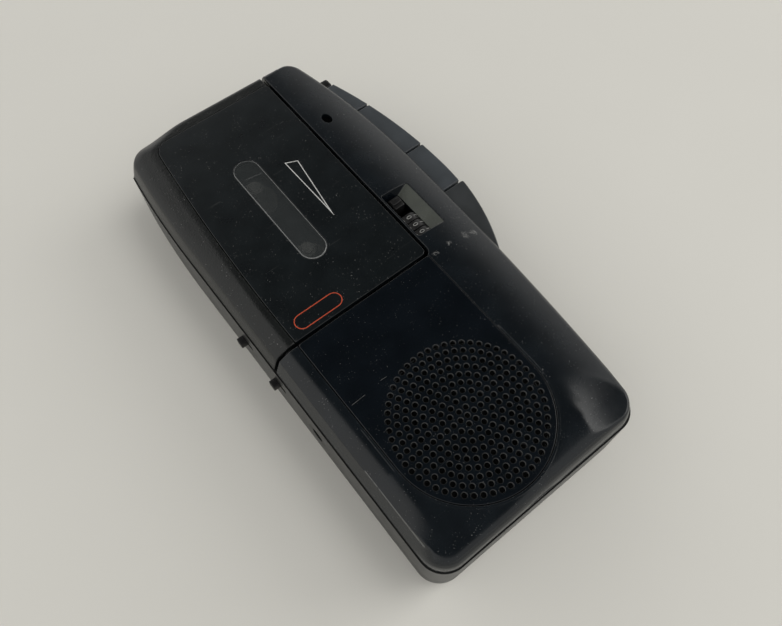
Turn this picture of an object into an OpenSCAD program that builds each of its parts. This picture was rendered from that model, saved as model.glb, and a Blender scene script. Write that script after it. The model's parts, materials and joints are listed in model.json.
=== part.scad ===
// Pocket microcassette recorder, lying on its back.
// +Z is the front face, +Y the microphone end, +X the button side. Millimetres.

/* [Case] */
// Length between the two ends of the case
case_len = 120; // [116:0.5:126]
// Left wall to the fullest point of the right wall
case_w = 57.2; // [56:0.1:60]
// Thickness from the back to the front face
case_t = 24; // [23.6:0.1:26]
// Height of the joint between the two shells
part_z = 18.5; // [18.3:0.1:18.8]
// Wall of the moulded shells
wall = 1.5; // [1.3:0.05:1.6]
// Corner radius of the case seen from the front
corner_r = 5.5; // [4:0.1:7]
// Corner radius beside the microphone, sharper than the other three
mic_corner_r = 3.4; // [3:0.1:5]
// Radius of the right wall's curve above its fullest point
bulge_r_top = 146; // [130:1:180]
// Radius of the right wall's curve below its fullest point
bulge_r_low = 646; // [500:1:900]
// Where the front face starts to fall away on the left, from the left wall
slope_w = 5.9; // [5:0.1:7]
// Radius of the rounded strip beside the door
crown_r = 38.5; // [34:0.5:46]
// Width of the rounded strip, from the fullest point of the right wall
crown_w = 15; // [13:0.1:15.6]
// Visible gap where the two shells meet
part_gap = 0.2; // [0.1:0.05:0.3]

/* [Cassette door] */
// Left wall to the door's right seam
door_w = 41.2; // [40.6:0.1:41.6]
// Top end to the door's lower seam
door_len = 67; // [66:0.1:68]
// Width of the seam round the door
seam_gap = 0.66; // [0.5:0.02:0.8]
// Radius of the door's lower right corner
door_corner_r = 1.5; // [0.8:0.1:2.5]
// Width of the tape window
window_w = 6.3; // [5:0.1:7]
// Length of the tape window
window_len = 32.3; // [28:0.1:36]
// Thickness of the inlaid face panels
panel_t = 0.6; // [0.4:0.05:0.8]
// Radius of the door's hinge pin
hinge_pin_r = 0.7; // [0.5:0.05:0.75]
// Radius of the hinge knuckles
knuckle_r = 1.3; // [1.2:0.05:1.35]

/* [Speaker] */
// Left wall to the speaker's centre
speaker_from_left = 23.6; // [23:0.1:24]
// Bottom end to the speaker's centre
speaker_from_end = 20.2; // [19.8:0.1:21]
// Radius of the panel's round lower end
panel_end_r = 17.1; // [16.5:0.1:17.3]
// Rings of holes in the grille
grille_rings = 9; // [5:1:9]
// Distance from one ring of holes to the next
ring_pitch = 1.706; // [1.6:0.01:1.75]
// Radius of a grille hole
grille_hole_r = 0.5; // [0.35:0.05:0.6]
// Radius of the loudspeaker's frame
speaker_r = 16; // [14.5:0.1:16.4]

/* [Buttons] */
// How far the buttons stand out from the fullest point of the right wall
button_out = 5.3; // [4.8:0.1:6]
// Lower edge of the buttons
button_z0 = 8.2; // [7.6:0.1:9]
// Upper edge of the buttons
button_z1 = 18.2; // [17.4:0.1:18.3]
// Gap between one button and the next
button_gap = 0.5; // [0.45:0.05:0.7]
// How far a button travels
button_travel = 2; // [1.5:0.1:2.2]
// Radius of the wind lever's pivot pin
lever_pin_r = 0.75; // [0.5:0.05:1]

/* [Tape drive] */
// Distance between the two reel spindles
reel_pitch = 21.5; // [20.5:0.1:22.5]
// Radius of a reel table
reel_r = 4.6; // [4.2:0.1:4.8]
// Radius of a reel spindle
spindle_r = 1.9; // [1.6:0.05:2.2]
// Radius of the capstan
capstan_r = 0.75; // [0.6:0.05:0.9]
// Radius of the flywheel
flywheel_r = 11.5; // [10.5:0.1:11.6]
// Radius of the motor
motor_r = 9.5; // [8.5:0.1:9.6]
// Radius of the motor pulley
pulley_r = 2.4; // [2:0.1:3]
// Radius of the pinch roller
roller_r = 2.6; // [2.2:0.1:2.7]
// Underside of the deck plate
deck_z = 12; // [11.8:0.1:12.2]
// Thickness of the deck plate
deck_t = 1.2; // [1:0.05:1.3]

/* [Counter] */
// Radius of a counter wheel
wheel_r = 3.1; // [2.8:0.05:3.15]
// Distance from one counter wheel to the next
wheel_pitch = 2.3; // [2.25:0.01:2.35]
// Radius of the counter's shaft
counter_shaft_r = 0.5; // [0.4:0.05:0.7]

/* [Power and sockets] */
// Radius of a battery cell
cell_r = 7.15; // [7:0.05:7.2]
// Length of a battery cell
cell_len = 50.5; // [49.5:0.1:50.8]
// Upper edge of the battery cover on the side walls
cover_z = 6.5; // [5:0.1:7]
// Bottom end to the battery cover's upper edge
cover_len = 35.4; // [33:0.1:35.8]
// Radius of the ear and microphone socket bores
jack_r = 1.8; // [1.7:0.05:1.9]
// Radius of the power socket's bore
dc_r = 1.7; // [1.5:0.05:1.9]
// How far the volume dial stands out of the top end
dial_out = 0.8; // [0.5:0.05:1.2]
// Radius of the volume dial
dial_r = 7.6; // [7:0.1:7.7]

/* [Hidden] */
$fn = 64;

// Clearances: parts that run in each other, parts that slide, parts that are fixed
run_gap = 0.06;
slide_gap = 0.3;
fix_gap = 0.02;
lid_gap = 0.15;
far = 400;

// The case seen from the front
overhang = 1.9;
left_x = -case_w / 2 - overhang;
bulge_x = left_x + case_w;
y0 = -case_len / 2 - dial_out / 2;
y1 = y0 + case_len;
bulge_y = y1 - 42;
left_bow_y = y1 - 33;
left_bow_r = 260;
floor_z = wall;
roof_z = case_t - wall;
front_z0 = part_z + part_gap;
inner_y0 = y0 + wall;
inner_y1 = y1 - wall;
inner_left = left_x + wall;

// Rounded back edge as slabs (from, to, inset), and the front shoulder as heights and insets
rear_levels = [[0, 0.4, 3.2], [0.6, 1.2, 1.6], [1.6, 2.6, 0.6], [3.2, part_z, 0]];
shoulder = [[0, 0], [1.5, 0.15], [2.9, 0.7], [4, 1.7]];
end_slope = 3.6;
crown_x = bulge_x - crown_w;

// The door
seam_x = left_x + door_w;
seam_y = y1 - door_len;
hinge_y = y1 - 2.2;
hinge_z = part_z + 1.2;
hinge_swing_r = 2.6;
ear_w = 3;
ear_half = ear_w / 2 + 0.25;
ear_x = [left_x + 8.5, seam_x - 6.7];
panel_left = left_x + 6.4;
panel_bow_r = 540;
panel_top = y1 - 4.5;
panel_z = case_t - panel_t;

// The speaker panel
spk = [left_x + speaker_from_left, y0 + speaker_from_end];
panel_right = spk[0] + 17.3;
sound_r = grille_rings * ring_pitch + 0.8;

// The tape drive
reel_mid = [seam_x - 18.75, seam_y + 30.35];
takeup = [reel_mid[0], reel_mid[1] - reel_pitch / 2];
supply = [reel_mid[0], reel_mid[1] + reel_pitch / 2];
cap = [reel_mid[0] + 12.25, reel_mid[1] - 12.55];
motor = [reel_mid[0] - 9.75, reel_mid[1] + 13.05];
deck_top = deck_z + deck_t;
wheel_z = deck_top + 0.2;
wheel_t = 1.1;
pinion_r = 2.2;
roll_gap = 0.1;
spindle_top = case_t - 4;
drive_dist = norm(takeup - cap);
drive_dir = (takeup - cap) / drive_dist;
idler_r = (drive_dist - pinion_r - reel_r - 2 * roll_gap) / 2;
idler = cap + drive_dir * (pinion_r + roll_gap + idler_r);
post_r = 0.8;
flywheel_z = [floor_z + 0.7, floor_z + 3.3];
belt_z = [flywheel_z[0] + 0.7, flywheel_z[1] - 0.9];
belt_t = 0.7;
head_travel = button_travel;
roller = [cap[0] + capstan_r + roller_r + 0.15 + head_travel, cap[1]];

// Deck outline: lower edge, upper edge, left edge, right edge, right edge beside the buttons
deck_y = [seam_y + 4, y1 - 4.2];
deck_x = [left_x + 4.1, seam_x + 2.9, bulge_x - 11.3];
deck_wide_y = [y1 - 51.6, y1 - 11.1];
deck_posts = [
    [deck_x[0] + 1.4, deck_y[1] - 2.3], [deck_x[0] + 1.4, deck_y[0] + 1.8],
    [deck_x[1] - 3.6, deck_y[1] - 13.4], [deck_x[1] - 1.2, deck_y[0] + 1.4]
];
screw_r = 0.8;

// Case screws run up through the back into the front shell
case_posts = [[bulge_x - 10.5, y1 - 5.6], [bulge_x - 6.2, y1 - 78.6], [left_x + 4.2, seam_y - 5.1]];
case_screw_r = 0.95;
case_seat_z = 10;

// Buttons, from the microphone end down
button_x = bulge_x + button_out;
button_mid_y = y1 - 46.7;
button_r_top = 125;
button_r_low = 66;
button_ends = [y1 - 9.4, y1 - 20.7, y1 - 39, y1 - 53.5, y1 - 74.3];
button_in = bulge_x - 6.9;
flange_t = 2;
flange_drop = 1.2;
flange_short = 2.5;
tab_x = deck_x[2];
lever_pivot = [button_in + 2.4, (button_ends[3] + button_ends[4]) / 2];
spring_r = 1.5;
spring_wire = 0.22;
spring_turns = 3;

// Switches on the left wall, and the pause knob on the right one
switch_z = 12;
switch_ends = [[y1 - 55.2, y1 - 52.4], [y1 - 68, y1 - 65.1]];
switch_travel = 1.6;
switch_out = 1.5;
rib_r = 0.25;
pause_y = [y1 - 8.6, y1 - 6.2];
pause_z = 15.6;
pause_out = 3.1;
pause_travel = 1;

// Counter
counter = [seam_x + 3, seam_y + 8.2, case_t - 4.5];
wheel_w = wheel_pitch - 0.2;
frame_t = 0.6;
frame_x = [counter[0] - 2.2, counter[0] + 2.3];
frame_z = counter[2] - wheel_r - 1.2;
frame_y = [counter[1] - 1.5 * wheel_pitch - 0.75, counter[1] + 1.5 * wheel_pitch + 0.75];
recess_x = [seam_x + 0.9, seam_x + 6.2, seam_x + 8.6];
recess_y = [seam_y + 4.4, seam_y + 18.5];
reset = [seam_x + 3.5, seam_y + 15.7];
reset_size = [3.4, 3.2];
reset_stem_r = 0.8;
mic = [bulge_x - 10.9, y1 - 22.2];
mic_hole_r = 1;
mic_r = 2.5;

// Batteries lie side by side along the lower half
bay_x = left_x + 26.5;
bay_half = 2 * cell_r + 0.5;
bay_rib = 0.8;
bay_y = [inner_y0, inner_y0 + cell_len + 2.4];
bay_roof_z = floor_z + 2 * cell_r + 0.6;
cell_z = floor_z + 0.2 + cell_r;
nub_r = 2.7;
nub_len = 1.4;
cover_y = y0 + cover_len;
ridge_half = 7;
ridge_pitch = 1.6;
ridge_r = 0.35;

// Sockets and dial along the top end
dial = [left_x + 19, y1 + dial_out - dial_r];
dial_z = [6.5, 9.5];
jack_xs = [left_x + 32.5, left_x + 40.5];
jack_z = 6;
jack_len = 11;
jack_half = 3.1;
dc_y = seam_y - 14.1;
dc_z = 11;
board_x = [left_x + 8, left_x + 29.5];
board_y = [seam_y + 4.8, seam_y + 31.8];
board_z = 6;
board_pegs = [
    [board_x[0] + 2, board_y[0] + 2.5], [board_x[0] + 2, board_y[1] - 2.5],
    [board_x[1] - 4, board_y[1] - 2.5]
];

// Outlines and shells

module upper_half(y) translate([-far, y]) square(2 * far);
module lower_half(y) translate([-far, y - 2 * far]) square(2 * far);

// Two arcs that meet where a wall is fullest, at height y
module two_arcs(x, y, r_top, r_low) {
    intersection() {
        translate([x - r_top, y]) circle(r_top, $fn = 360);
        upper_half(y);
    }
    intersection() {
        translate([x - r_low, y]) circle(r_low, $fn = 720);
        lower_half(y);
    }
}

module square_plan() intersection() {
    translate([left_x, y0]) square([far, case_len]);
    two_arcs(bulge_x, bulge_y, bulge_r_top, bulge_r_low);
    union() {
        lower_half(left_bow_y);
        translate([left_x + left_bow_r, left_bow_y]) circle(left_bow_r, $fn = 360);
    }
}

module rounded_plan(r) offset(r = r, $fn = 48) offset(delta = -r) square_plan();

module plan(inset = 0) offset(delta = -inset) {
    rounded_plan(corner_r);
    intersection() {
        rounded_plan(mic_corner_r);
        translate([bulge_x - 4 * corner_r, y1 - 4 * corner_r]) square(far);
    }
}

module slab(z0, z1, inset) translate([0, 0, z0]) linear_extrude(z1 - z0) plan(inset);

module rear_body() hull() for (l = rear_levels) slab(l[0], l[1], l[2]);

// Everything under the front face, down to the joint between the shells
module crown() {
    arc_end = asin((bulge_x + 1 - crown_x) / crown_r);
    side = [for (s = shoulder) [left_x + s[1], front_z0 + s[0]]];
    face = [[left_x + slope_w, case_t], [crown_x, case_t]];
    fall = [for (a = [0:2:arc_end + 2]) [crown_x + crown_r * sin(a), case_t - crown_r * (1 - cos(a))]];
    low = [for (s = shoulder) [y0 + s[1], front_z0 + s[0]]];
    high = [for (i = [len(shoulder) - 1:-1:0]) [y1 - shoulder[i][1], front_z0 + shoulder[i][0]]];
    intersection() {
        hull() {
            slab(front_z0, front_z0 + 0.3, 0);
            for (i = [1:3]) slab(front_z0 + shoulder[i][0] - 0.4, front_z0 + shoulder[i][0], shoulder[i][1]);
            slab(case_t - 0.4, case_t, shoulder[3][1] + 0.9);
        }
        rotate([90, 0, 0]) linear_extrude(2 * far, center = true)
            polygon(concat(side, face, fall, [[fall[len(fall) - 1][0], front_z0]]));
        rotate([90, 0, 90]) linear_extrude(2 * far, center = true)
            polygon(concat(low, [[y0 + end_slope, case_t], [y1 - 3, case_t]], high));
    }
}

module crown_void() {
    intersection() {
        translate([0, 0, -wall]) crown();
        translate([0, 0, front_z0 - wall]) linear_extrude(case_t) plan(wall);
    }
}

// The space of the door seen from the front, grown by g
module door_plan(g) {
    r = door_corner_r;
    translate([-far, seam_y - g + r]) square([far + seam_x + g, far]);
    translate([-far, seam_y - g]) square([far + seam_x + g - r, far]);
    translate([seam_x + g - r, seam_y - g + r]) circle(r);
}

module stadium(w, l) {
    square([w, l - w], center = true);
    for (s = [-1, 1]) translate([0, s * (l - w) / 2]) circle(w / 2);
}

module box_at(x, y, z) translate([x[0], y[0], z[0]]) cube([x[1] - x[0], y[1] - y[0], z[1] - z[0]]);

module post(at, r, z) translate([at[0], at[1], z[0]]) cylinder(r = r, h = z[1] - z[0]);

// A round bar along X, at height z and distance y
module bar_x(x, y, z, r) translate([x[0], y, z]) rotate([0, 90, 0]) cylinder(r = r, h = x[1] - x[0]);

// A round bar along Y, at height z and distance x
module bar_y(x, y, z, r) translate([x, y[0], z]) rotate([-90, 0, 0]) cylinder(r = r, h = y[1] - y[0]);

// The battery cover's own space, grown by g
module cover_space(g) {
    box_at([-far, far], [-far, cover_y + g], [-1, cover_z + g]);
    box_at(
        [bay_x - bay_half - g, bay_x + bay_half + g], [cover_y - 1, bay_y[1] - lid_gap + g], [-1, floor_z]
    );
}

module button_band() two_arcs(button_x, button_mid_y, button_r_top, button_r_low);

module rear_cavity() translate([0, 0, floor_z]) linear_extrude(case_t) plan(wall);

module bay_walls() {
    outer = [bay_x - bay_half - bay_rib, bay_x + bay_half + bay_rib];
    z0 = floor_z + 0.2;
    for (x = [outer[0], outer[1] - bay_rib])
        box_at([x, x + bay_rib], [bay_y[0] + 0.2, bay_y[1] + 0.4], [z0, bay_roof_z + 0.1]);
    box_at(outer, [bay_y[1], bay_y[1] + 1], [floor_z - 0.5, bay_roof_z + 0.1]);
    box_at(outer, [bay_y[0] - 0.5, bay_y[1] + 1], [bay_roof_z, bay_roof_z + 0.7]);
}

module door_ears() {
    for (x = ear_x) {
        bar_x([x - ear_w / 2, x + ear_w / 2], hinge_y, hinge_z, knuckle_r);
        box_at(
            [x - ear_w / 2, x + ear_w / 2], [hinge_y - knuckle_r, inner_y1 + 0.1], [deck_top + 0.2, hinge_z]
        );
    }
}

module rear_shell() color("#2b2c2e") difference() {
    union() {
        difference() {
            rear_body();
            rear_cavity();
            cover_space(lid_gap);
            // Room for the door's end wall as it swings
            bar_x([left_x - 1, seam_x + seam_gap], hinge_y, hinge_z, hinge_swing_r);
            // Buttons, pause knob, switches, dial and sockets
            box_at(
                [button_in, far], [button_ends[4] - 0.5, button_ends[0] + slide_gap],
                [button_z0 - slide_gap, case_t]
            );
            box_at(
                [button_in - 1, far], [pause_y[0] + 0.1, pause_y[1] + pause_travel - 0.1],
                [pause_z - 0.9, pause_z + 0.9]
            );
            for (e = switch_ends)
                box_at([-far, 0], [e[0] - switch_travel, e[1] - 0.3], [switch_z - 0.9, switch_z + 0.9]);
            box_at(
                [dial[0] - 0.77 * dial_r, dial[0] + 0.77 * dial_r], [dial[1], far],
                [dial_z[0] - slide_gap, dial_z[1] + slide_gap]
            );
        }
        bay_walls();
        door_ears();
        intersection() {
            rear_body();
            union() {
                for (p = case_posts) post(p, 2.6, [0.2, part_z]);
                for (p = deck_posts) post(p, 2, [0.2, deck_z]);
                for (p = board_pegs) post(p, 1.5, [0.2, board_z]);
                post(lever_pivot, 2, [0.2, button_z0 - flange_drop]);
            }
        }
    }
    for (p = case_posts) {
        post(p, case_screw_r + 0.95, [-1, case_seat_z]);
        post(p, case_screw_r + 0.1, [0, part_z + 1]);
    }
    for (p = deck_posts) post(p, screw_r + fix_gap, [deck_z - 5, deck_z + 1]);
    post(lever_pivot, lever_pin_r + fix_gap, [floor_z + 1, button_z0]);
    bar_x([ear_x[0] - far, ear_x[1] + ear_w], hinge_y, hinge_z, hinge_pin_r + fix_gap);
    for (x = jack_xs) bar_y(x, [inner_y1 - 0.5, y1 + 1], jack_z, jack_half - 0.1);
    bar_x([left_x - 1, inner_left + 0.5], dc_y, dc_z, dc_r + 1.1);
}

module front_shell() color("#1c1d1f") difference() {
    union() {
        difference() {
            crown();
            crown_void();
            translate([0, 0, -1]) linear_extrude(2 * case_t) door_plan(seam_gap / 2);
        }
        intersection() {
            crown();
            union() {
                for (p = case_posts) post(p, 2.4, [front_z0, case_t]);
                // Pad under the counter's sloping side
                box_at(
                    [recess_x[1] + 0.1, recess_x[2] + 1], [recess_y[0] - 0.5, recess_y[1] + 0.5],
                    [case_t - 3.1, case_t]
                );
            }
        }
    }
    for (p = case_posts) post(p, case_screw_r + fix_gap, [part_z, part_z + 3.2]);
    translate([0, 0, panel_z]) linear_extrude(case_t) grille_plan(fix_gap);
    post(spk, sound_r, [part_z, case_t]);
    box_at([recess_x[0], recess_x[1]], recess_y, [part_z, case_t + 1]);
    translate([0, recess_y[1], 0]) rotate([90, 0, 0]) linear_extrude(recess_y[1] - recess_y[0]) polygon([
        [recess_x[1] - 0.1, case_t - 2.1], [recess_x[2], case_t - 0.7],
        [recess_x[2], case_t + 1], [recess_x[1] - 0.1, case_t + 1]
    ]);
    post(mic, mic_hole_r, [part_z, case_t + 1]);
}

// Speaker panel: straight sides, square at the door, round at the bottom end
module grille_plan(g = 0) {
    r = panel_end_r + g;
    left = max(panel_left, spk[0] - panel_end_r);
    translate([left - g, spk[1]]) square([panel_right - left + 2 * g, seam_y - seam_gap / 2 - spk[1] + g]);
    translate([spk[0], spk[1]]) circle(r, $fn = 96);
}

module grille_plate() color("#15181c") difference() {
    translate([0, 0, panel_z]) linear_extrude(panel_t) difference() {
        grille_plan();
        upper_half(seam_y - seam_gap / 2 - 0.4);
    }
    for (k = [1:grille_rings], i = [0:6 * k - 1]) rotate_about(spk, i * 60 / k)
        post([spk[0] + k * ring_pitch, spk[1]], grille_hole_r, [panel_z - 1, case_t + 1]);
    post(spk, grille_hole_r, [panel_z - 1, case_t + 1]);
}

module rotate_about(at, a) translate([at[0], at[1], 0]) rotate(a) translate([-at[0], -at[1], 0]) children();

// Loudspeaker, stacked between the battery bay and the grille

magnet_z = bay_roof_z + 0.75;
basket_z = magnet_z + 2.2;
rim_z = min(panel_z - 0.9, basket_z + 2.7);
cone_z = [rim_z + 0.12, rim_z + 0.35];

module speaker_magnet() color("#8d8f92") post(spk, 8, [magnet_z, basket_z]);

module speaker_frame() color("#6f7275") translate([spk[0], spk[1], 0]) rotate_extrude($fn = 96) polygon([
    [3.6, basket_z], [9, basket_z], [speaker_r - 1.6, rim_z - 0.6], [speaker_r, rim_z - 0.6],
    [speaker_r, rim_z], [speaker_r - 1.8, rim_z], [8.8, basket_z + 0.5], [3.6, basket_z + 0.5]
]);

module speaker_cone() color("#202020") translate([spk[0], spk[1], 0]) rotate_extrude($fn = 96) polygon([
    [0, basket_z + 0.9], [3.4, basket_z + 0.7], [speaker_r - 2.6, cone_z[0]], [speaker_r - 0.4, cone_z[0]],
    [speaker_r - 0.4, cone_z[1]], [speaker_r - 2.8, cone_z[1]], [3.4, basket_z + 1], [0, basket_z + 1.9]
]);

// Tape deck

module deck_plate() color("#b9bcc0") difference() {
    union() {
        translate([0, 0, deck_z]) linear_extrude(deck_t) polygon([
            [deck_x[0], deck_y[0]], [deck_x[1], deck_y[0]], [deck_x[1], deck_wide_y[0]],
            [deck_x[2], deck_wide_y[0]], [deck_x[2], deck_wide_y[1]], [deck_x[1], deck_wide_y[1]],
            [deck_x[1], deck_y[1]], [deck_x[0], deck_y[1]]
        ]);
        // Upright tabs that the button springs push against
        for (i = [0:2]) box_at(
            [tab_x - 1, tab_x], [button_mid(i) - 2.2, button_mid(i) + 2.2],
            [spring_z - 2.4, spring_z + 2.4]
        );
    }
    post(cap, 2.2 + fix_gap, [deck_z - 1, deck_top + 1]);
    for (p = deck_posts) post(p, screw_r + 0.1, [deck_z - 1, deck_top + 1]);
}

module deck_screws() color("#c9c9c4") for (p = deck_posts) difference() {
    union() {
        post(p, screw_r, [deck_z - 4.5, deck_top + 0.1]);
        post(p, screw_r + 0.8, [deck_top, deck_top + 0.8]);
    }
    box_at([p[0] - 1, p[0] + 1], [p[1] - 0.2, p[1] + 0.2], [deck_top + 0.4, deck_top + 1]);
}

module case_screws() color("#c9c9c4") for (p = case_posts) difference() {
    union() {
        post(p, case_screw_r, [case_seat_z - 0.1, part_z + 2.8]);
        post(p, case_screw_r + 0.85, [case_seat_z - 1.4, case_seat_z]);
    }
    for (a = [0, 90]) translate([p[0], p[1], case_seat_z - 1.4]) rotate(a)
        cube([2.2, 0.45, 1], center = true);
}

module motor_body() color("#aeb2b6") difference() {
    union() {
        post(motor, motor_r, [flywheel_z[1] + 0.6, deck_z]);
        post(motor, 3, [flywheel_z[1] + 0.2, deck_z - 1]);
    }
    post(motor, 0.8 + run_gap, [flywheel_z[1], deck_z - 4]);
}

module motor_pulley() color("#c8a35a") {
    post(motor, pulley_r, [flywheel_z[0], flywheel_z[1] - 0.1]);
    post(motor, 0.8, [flywheel_z[0], deck_z - 4.3]);
}

module belt_loop(grow) hull() {
    translate(motor) circle(pulley_r + grow, $fn = 32);
    translate(cap) circle(flywheel_r + grow, $fn = 32);
}

module drive_belt() color("#1a1a1a") translate([0, 0, belt_z[0]]) linear_extrude(belt_z[1] - belt_z[0])
    difference() {
        belt_loop(0.1 + belt_t);
        belt_loop(0.1);
    }

module flywheel() color("#a9adb0") difference() {
    union() {
        post(cap, flywheel_r, flywheel_z);
        post(cap, 2.6, [flywheel_z[0], flywheel_z[1] + 1.4]);
    }
    post(cap, capstan_r + fix_gap, [0, deck_z]);
    translate([cap[0], cap[1], flywheel_z[1]]) rotate_extrude() translate([4.2, -0.6]) square([4.6, 2]);
}

module capstan() color("#d7d9db") {
    post(cap, capstan_r, [flywheel_z[0], spindle_top - 0.5]);
    post(cap, pinion_r, [wheel_z, wheel_z + wheel_t]);
}

module capstan_bearing() color("#c8a35a") difference() {
    union() {
        post(cap, 2.2, [deck_z - 1, deck_top]);
        post(cap, 3, [deck_z - 1, deck_z]);
    }
    post(cap, capstan_r + run_gap, [deck_z - 2, deck_top + 1]);
}

module reel_posts() color("#d7d9db") {
    for (p = [takeup, supply]) post(p, post_r, [deck_top, spindle_top - 0.9]);
    post(idler, post_r, [deck_top, wheel_z + wheel_t + 0.4]);
}

module reel(at) difference() {
    union() {
        post(at, reel_r, [wheel_z, wheel_z + wheel_t]);
        post(at, spindle_r, [wheel_z, spindle_top - 0.4]);
        post(at, spindle_r * 0.7, [wheel_z, spindle_top]);
        for (a = [0:120:240]) rotate_about(at, a) box_at(
            [at[0], at[0] + spindle_r + 0.5], [at[1] - 0.35, at[1] + 0.35], [wheel_z + 0.5, spindle_top - 0.8]
        );
    }
    post(at, post_r + run_gap, [deck_top, spindle_top - 0.7]);
}

module takeup_reel() color("#e4e4e0") reel(takeup);
module supply_reel() color("#e4e4e0") reel(supply);

module idler_wheel() color("#2a2a2a") difference() {
    post(idler, idler_r, [wheel_z, wheel_z + wheel_t]);
    post(idler, post_r + run_gap, [deck_top, wheel_z + wheel_t + 1]);
}

// Head bracket slides towards the tape when play is pressed
head_x = [reel_mid[0] + 15.95, deck_x[1] - 0.4];
head_z = [wheel_z + 0.1, wheel_z + 1.1];
head_top = case_t - 4;
head_half = 3.4;
head_nose_r = 4.1;
erase_y = [reel_mid[1] + 6.4, reel_mid[1] + 9.2];

module head_bracket() color("#b9bcc0") {
    box_at(head_x, [reel_mid[1] - 9, reel_mid[1] + 11], head_z);
    box_at([head_x[0] + 1.1, head_x[1]], [cap[1] - 2.9, reel_mid[1] - 8.9], head_z);
    post(roller, post_r, [head_z[0], head_top - 0.3]);
}

module record_head() color("#8d8f92") difference() {
    union() {
        box_at(
            [head_x[0] - 0.4, head_x[0] + 3.2], [reel_mid[1] - head_half, reel_mid[1] + head_half],
            [head_z[1], head_top]
        );
        post([head_x[0] + 3.1, reel_mid[1]], head_nose_r, [head_z[1] + 0.8, head_top - 0.8]);
    }
    box_at([head_x[0] + 3.2, far], [-far, far], [0, case_t]);
}

module erase_head() color("#3a3b3d")
    box_at([head_x[0] + 0.1, head_x[0] + 2.6], erase_y, [head_z[1], head_top - 0.4]);

module pinch_roller() color("#262626") difference() {
    post(roller, roller_r, [head_z[1] + 0.2, head_top - 1]);
    post(roller, post_r + run_gap, [0, case_t]);
}

module circuit_board() color("#2f6b45") {
    box_at(board_x, board_y, [board_z, board_z + 1.2]);
    // Chips, coils and capacitors on the board's front side
    for (i = [0:2]) box_at(
        [board_x[0] + 4 + 5 * i, board_x[0] + 7.4 + 5 * i], [board_y[0] + 6, board_y[0] + 12],
        [board_z + 1, board_z + 2.6]
    );
    for (i = [0:3]) post([board_x[0] + 4.5 + 3.6 * i, board_y[0] + 17.5], 1.5, [board_z + 1, board_z + 4]);
}

// Cassette door

module knuckles() {
    spans = [
        [ear_x[0] - 3.2, ear_x[0] - ear_half], [ear_x[0] + ear_half, ear_x[1] - ear_half],
        [ear_x[1] + ear_half, ear_x[1] + 4]
    ];
    for (s = spans) bar_x(s, hinge_y, hinge_z, knuckle_r);
}

module cassette_door() color("#232528") difference() {
    union() {
        difference() {
            intersection() {
                crown();
                linear_extrude(2 * case_t) door_plan(-seam_gap / 2);
            }
            crown_void();
        }
        knuckles();
    }
    for (x = ear_x)
        box_at([x - ear_half, x + ear_half], [hinge_y - 3, far], [0, hinge_z + knuckle_r + 0.5]);
    bar_x([-far, far], hinge_y, hinge_z, hinge_pin_r + run_gap);
    translate([0, 0, panel_z]) linear_extrude(case_t) panel_plan(fix_gap);
    window_hole(fix_gap);
}

module window_hole(g) translate([reel_mid[0], reel_mid[1] - 0.4, part_z]) linear_extrude(case_t)
    stadium(window_w + 2 * g, window_len + 2 * g);

module panel_plan(g = 0) intersection() {
    translate([panel_left - g + panel_bow_r, seam_y + 7]) circle(panel_bow_r, $fn = 360);
    translate([-far, seam_y + seam_gap / 2 + 0.4 - g])
        square([far + panel_right + g, panel_top - seam_y - seam_gap / 2 - 0.4 + 2 * g]);
}

module door_panel() color("#1d2023") difference() {
    translate([0, 0, panel_z]) linear_extrude(panel_t) panel_plan();
    window_hole(fix_gap);
}

module door_window() color("#55595c") intersection() {
    window_hole(0);
    box_at([-far, far], [-far, far], [roof_z, case_t - 0.08]);
}

// Bowed leaf under the door that presses on the cassette
leaf_w = 7;

module cassette_spring() color("#c9ccd0") translate([left_x + 8, reel_mid[1], 0]) rotate([90, 0, 90])
    linear_extrude(leaf_w) polygon([
        [-9, roof_z], [-9, roof_z - 0.25], [-6.2, roof_z - 0.25], [-3, roof_z - 0.8], [3, roof_z - 0.8],
        [6.2, roof_z - 0.25], [9, roof_z - 0.25], [9, roof_z], [6, roof_z], [3, roof_z - 0.55],
        [-3, roof_z - 0.55], [-6, roof_z]
    ]);

module hinge_pin() color("#d7d9db") bar_x([ear_x[0] - 3, ear_x[1] + 3.8], hinge_y, hinge_z, hinge_pin_r);

// Buttons and levers on the right side

spring_z = (button_z0 + button_z1) / 2;
function button_mid(i) = (button_ends[i] + button_ends[i + 1]) / 2;

module button(i) {
    ends = [button_ends[i + 1] + button_gap / 2, button_ends[i] - button_gap / 2];
    translate([0, 0, button_z0]) linear_extrude(button_z1 - button_z0) intersection() {
        button_band();
        translate([button_in, ends[0]]) square([far, ends[1] - ends[0]]);
    }
    box_at(
        [button_in, button_in + flange_t], [ends[0] + flange_short, ends[1] - flange_short],
        [button_z0 - flange_drop, button_z0 + 1]
    );
}

module record_button() color("#43464c") button(0);
module play_button() color("#43464c") button(1);
module stop_button() color("#43464c") button(2);

// Wire points round a coil along X, and the tube swept along them
function coil(n) = [for (i = [0:n]) let (a = 360 * spring_turns * i / n) [
    tab_x + spring_wire + (button_in - tab_x - 2 * spring_wire) * i / n, spring_r * cos(a), spring_r * sin(a)
]];

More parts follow.
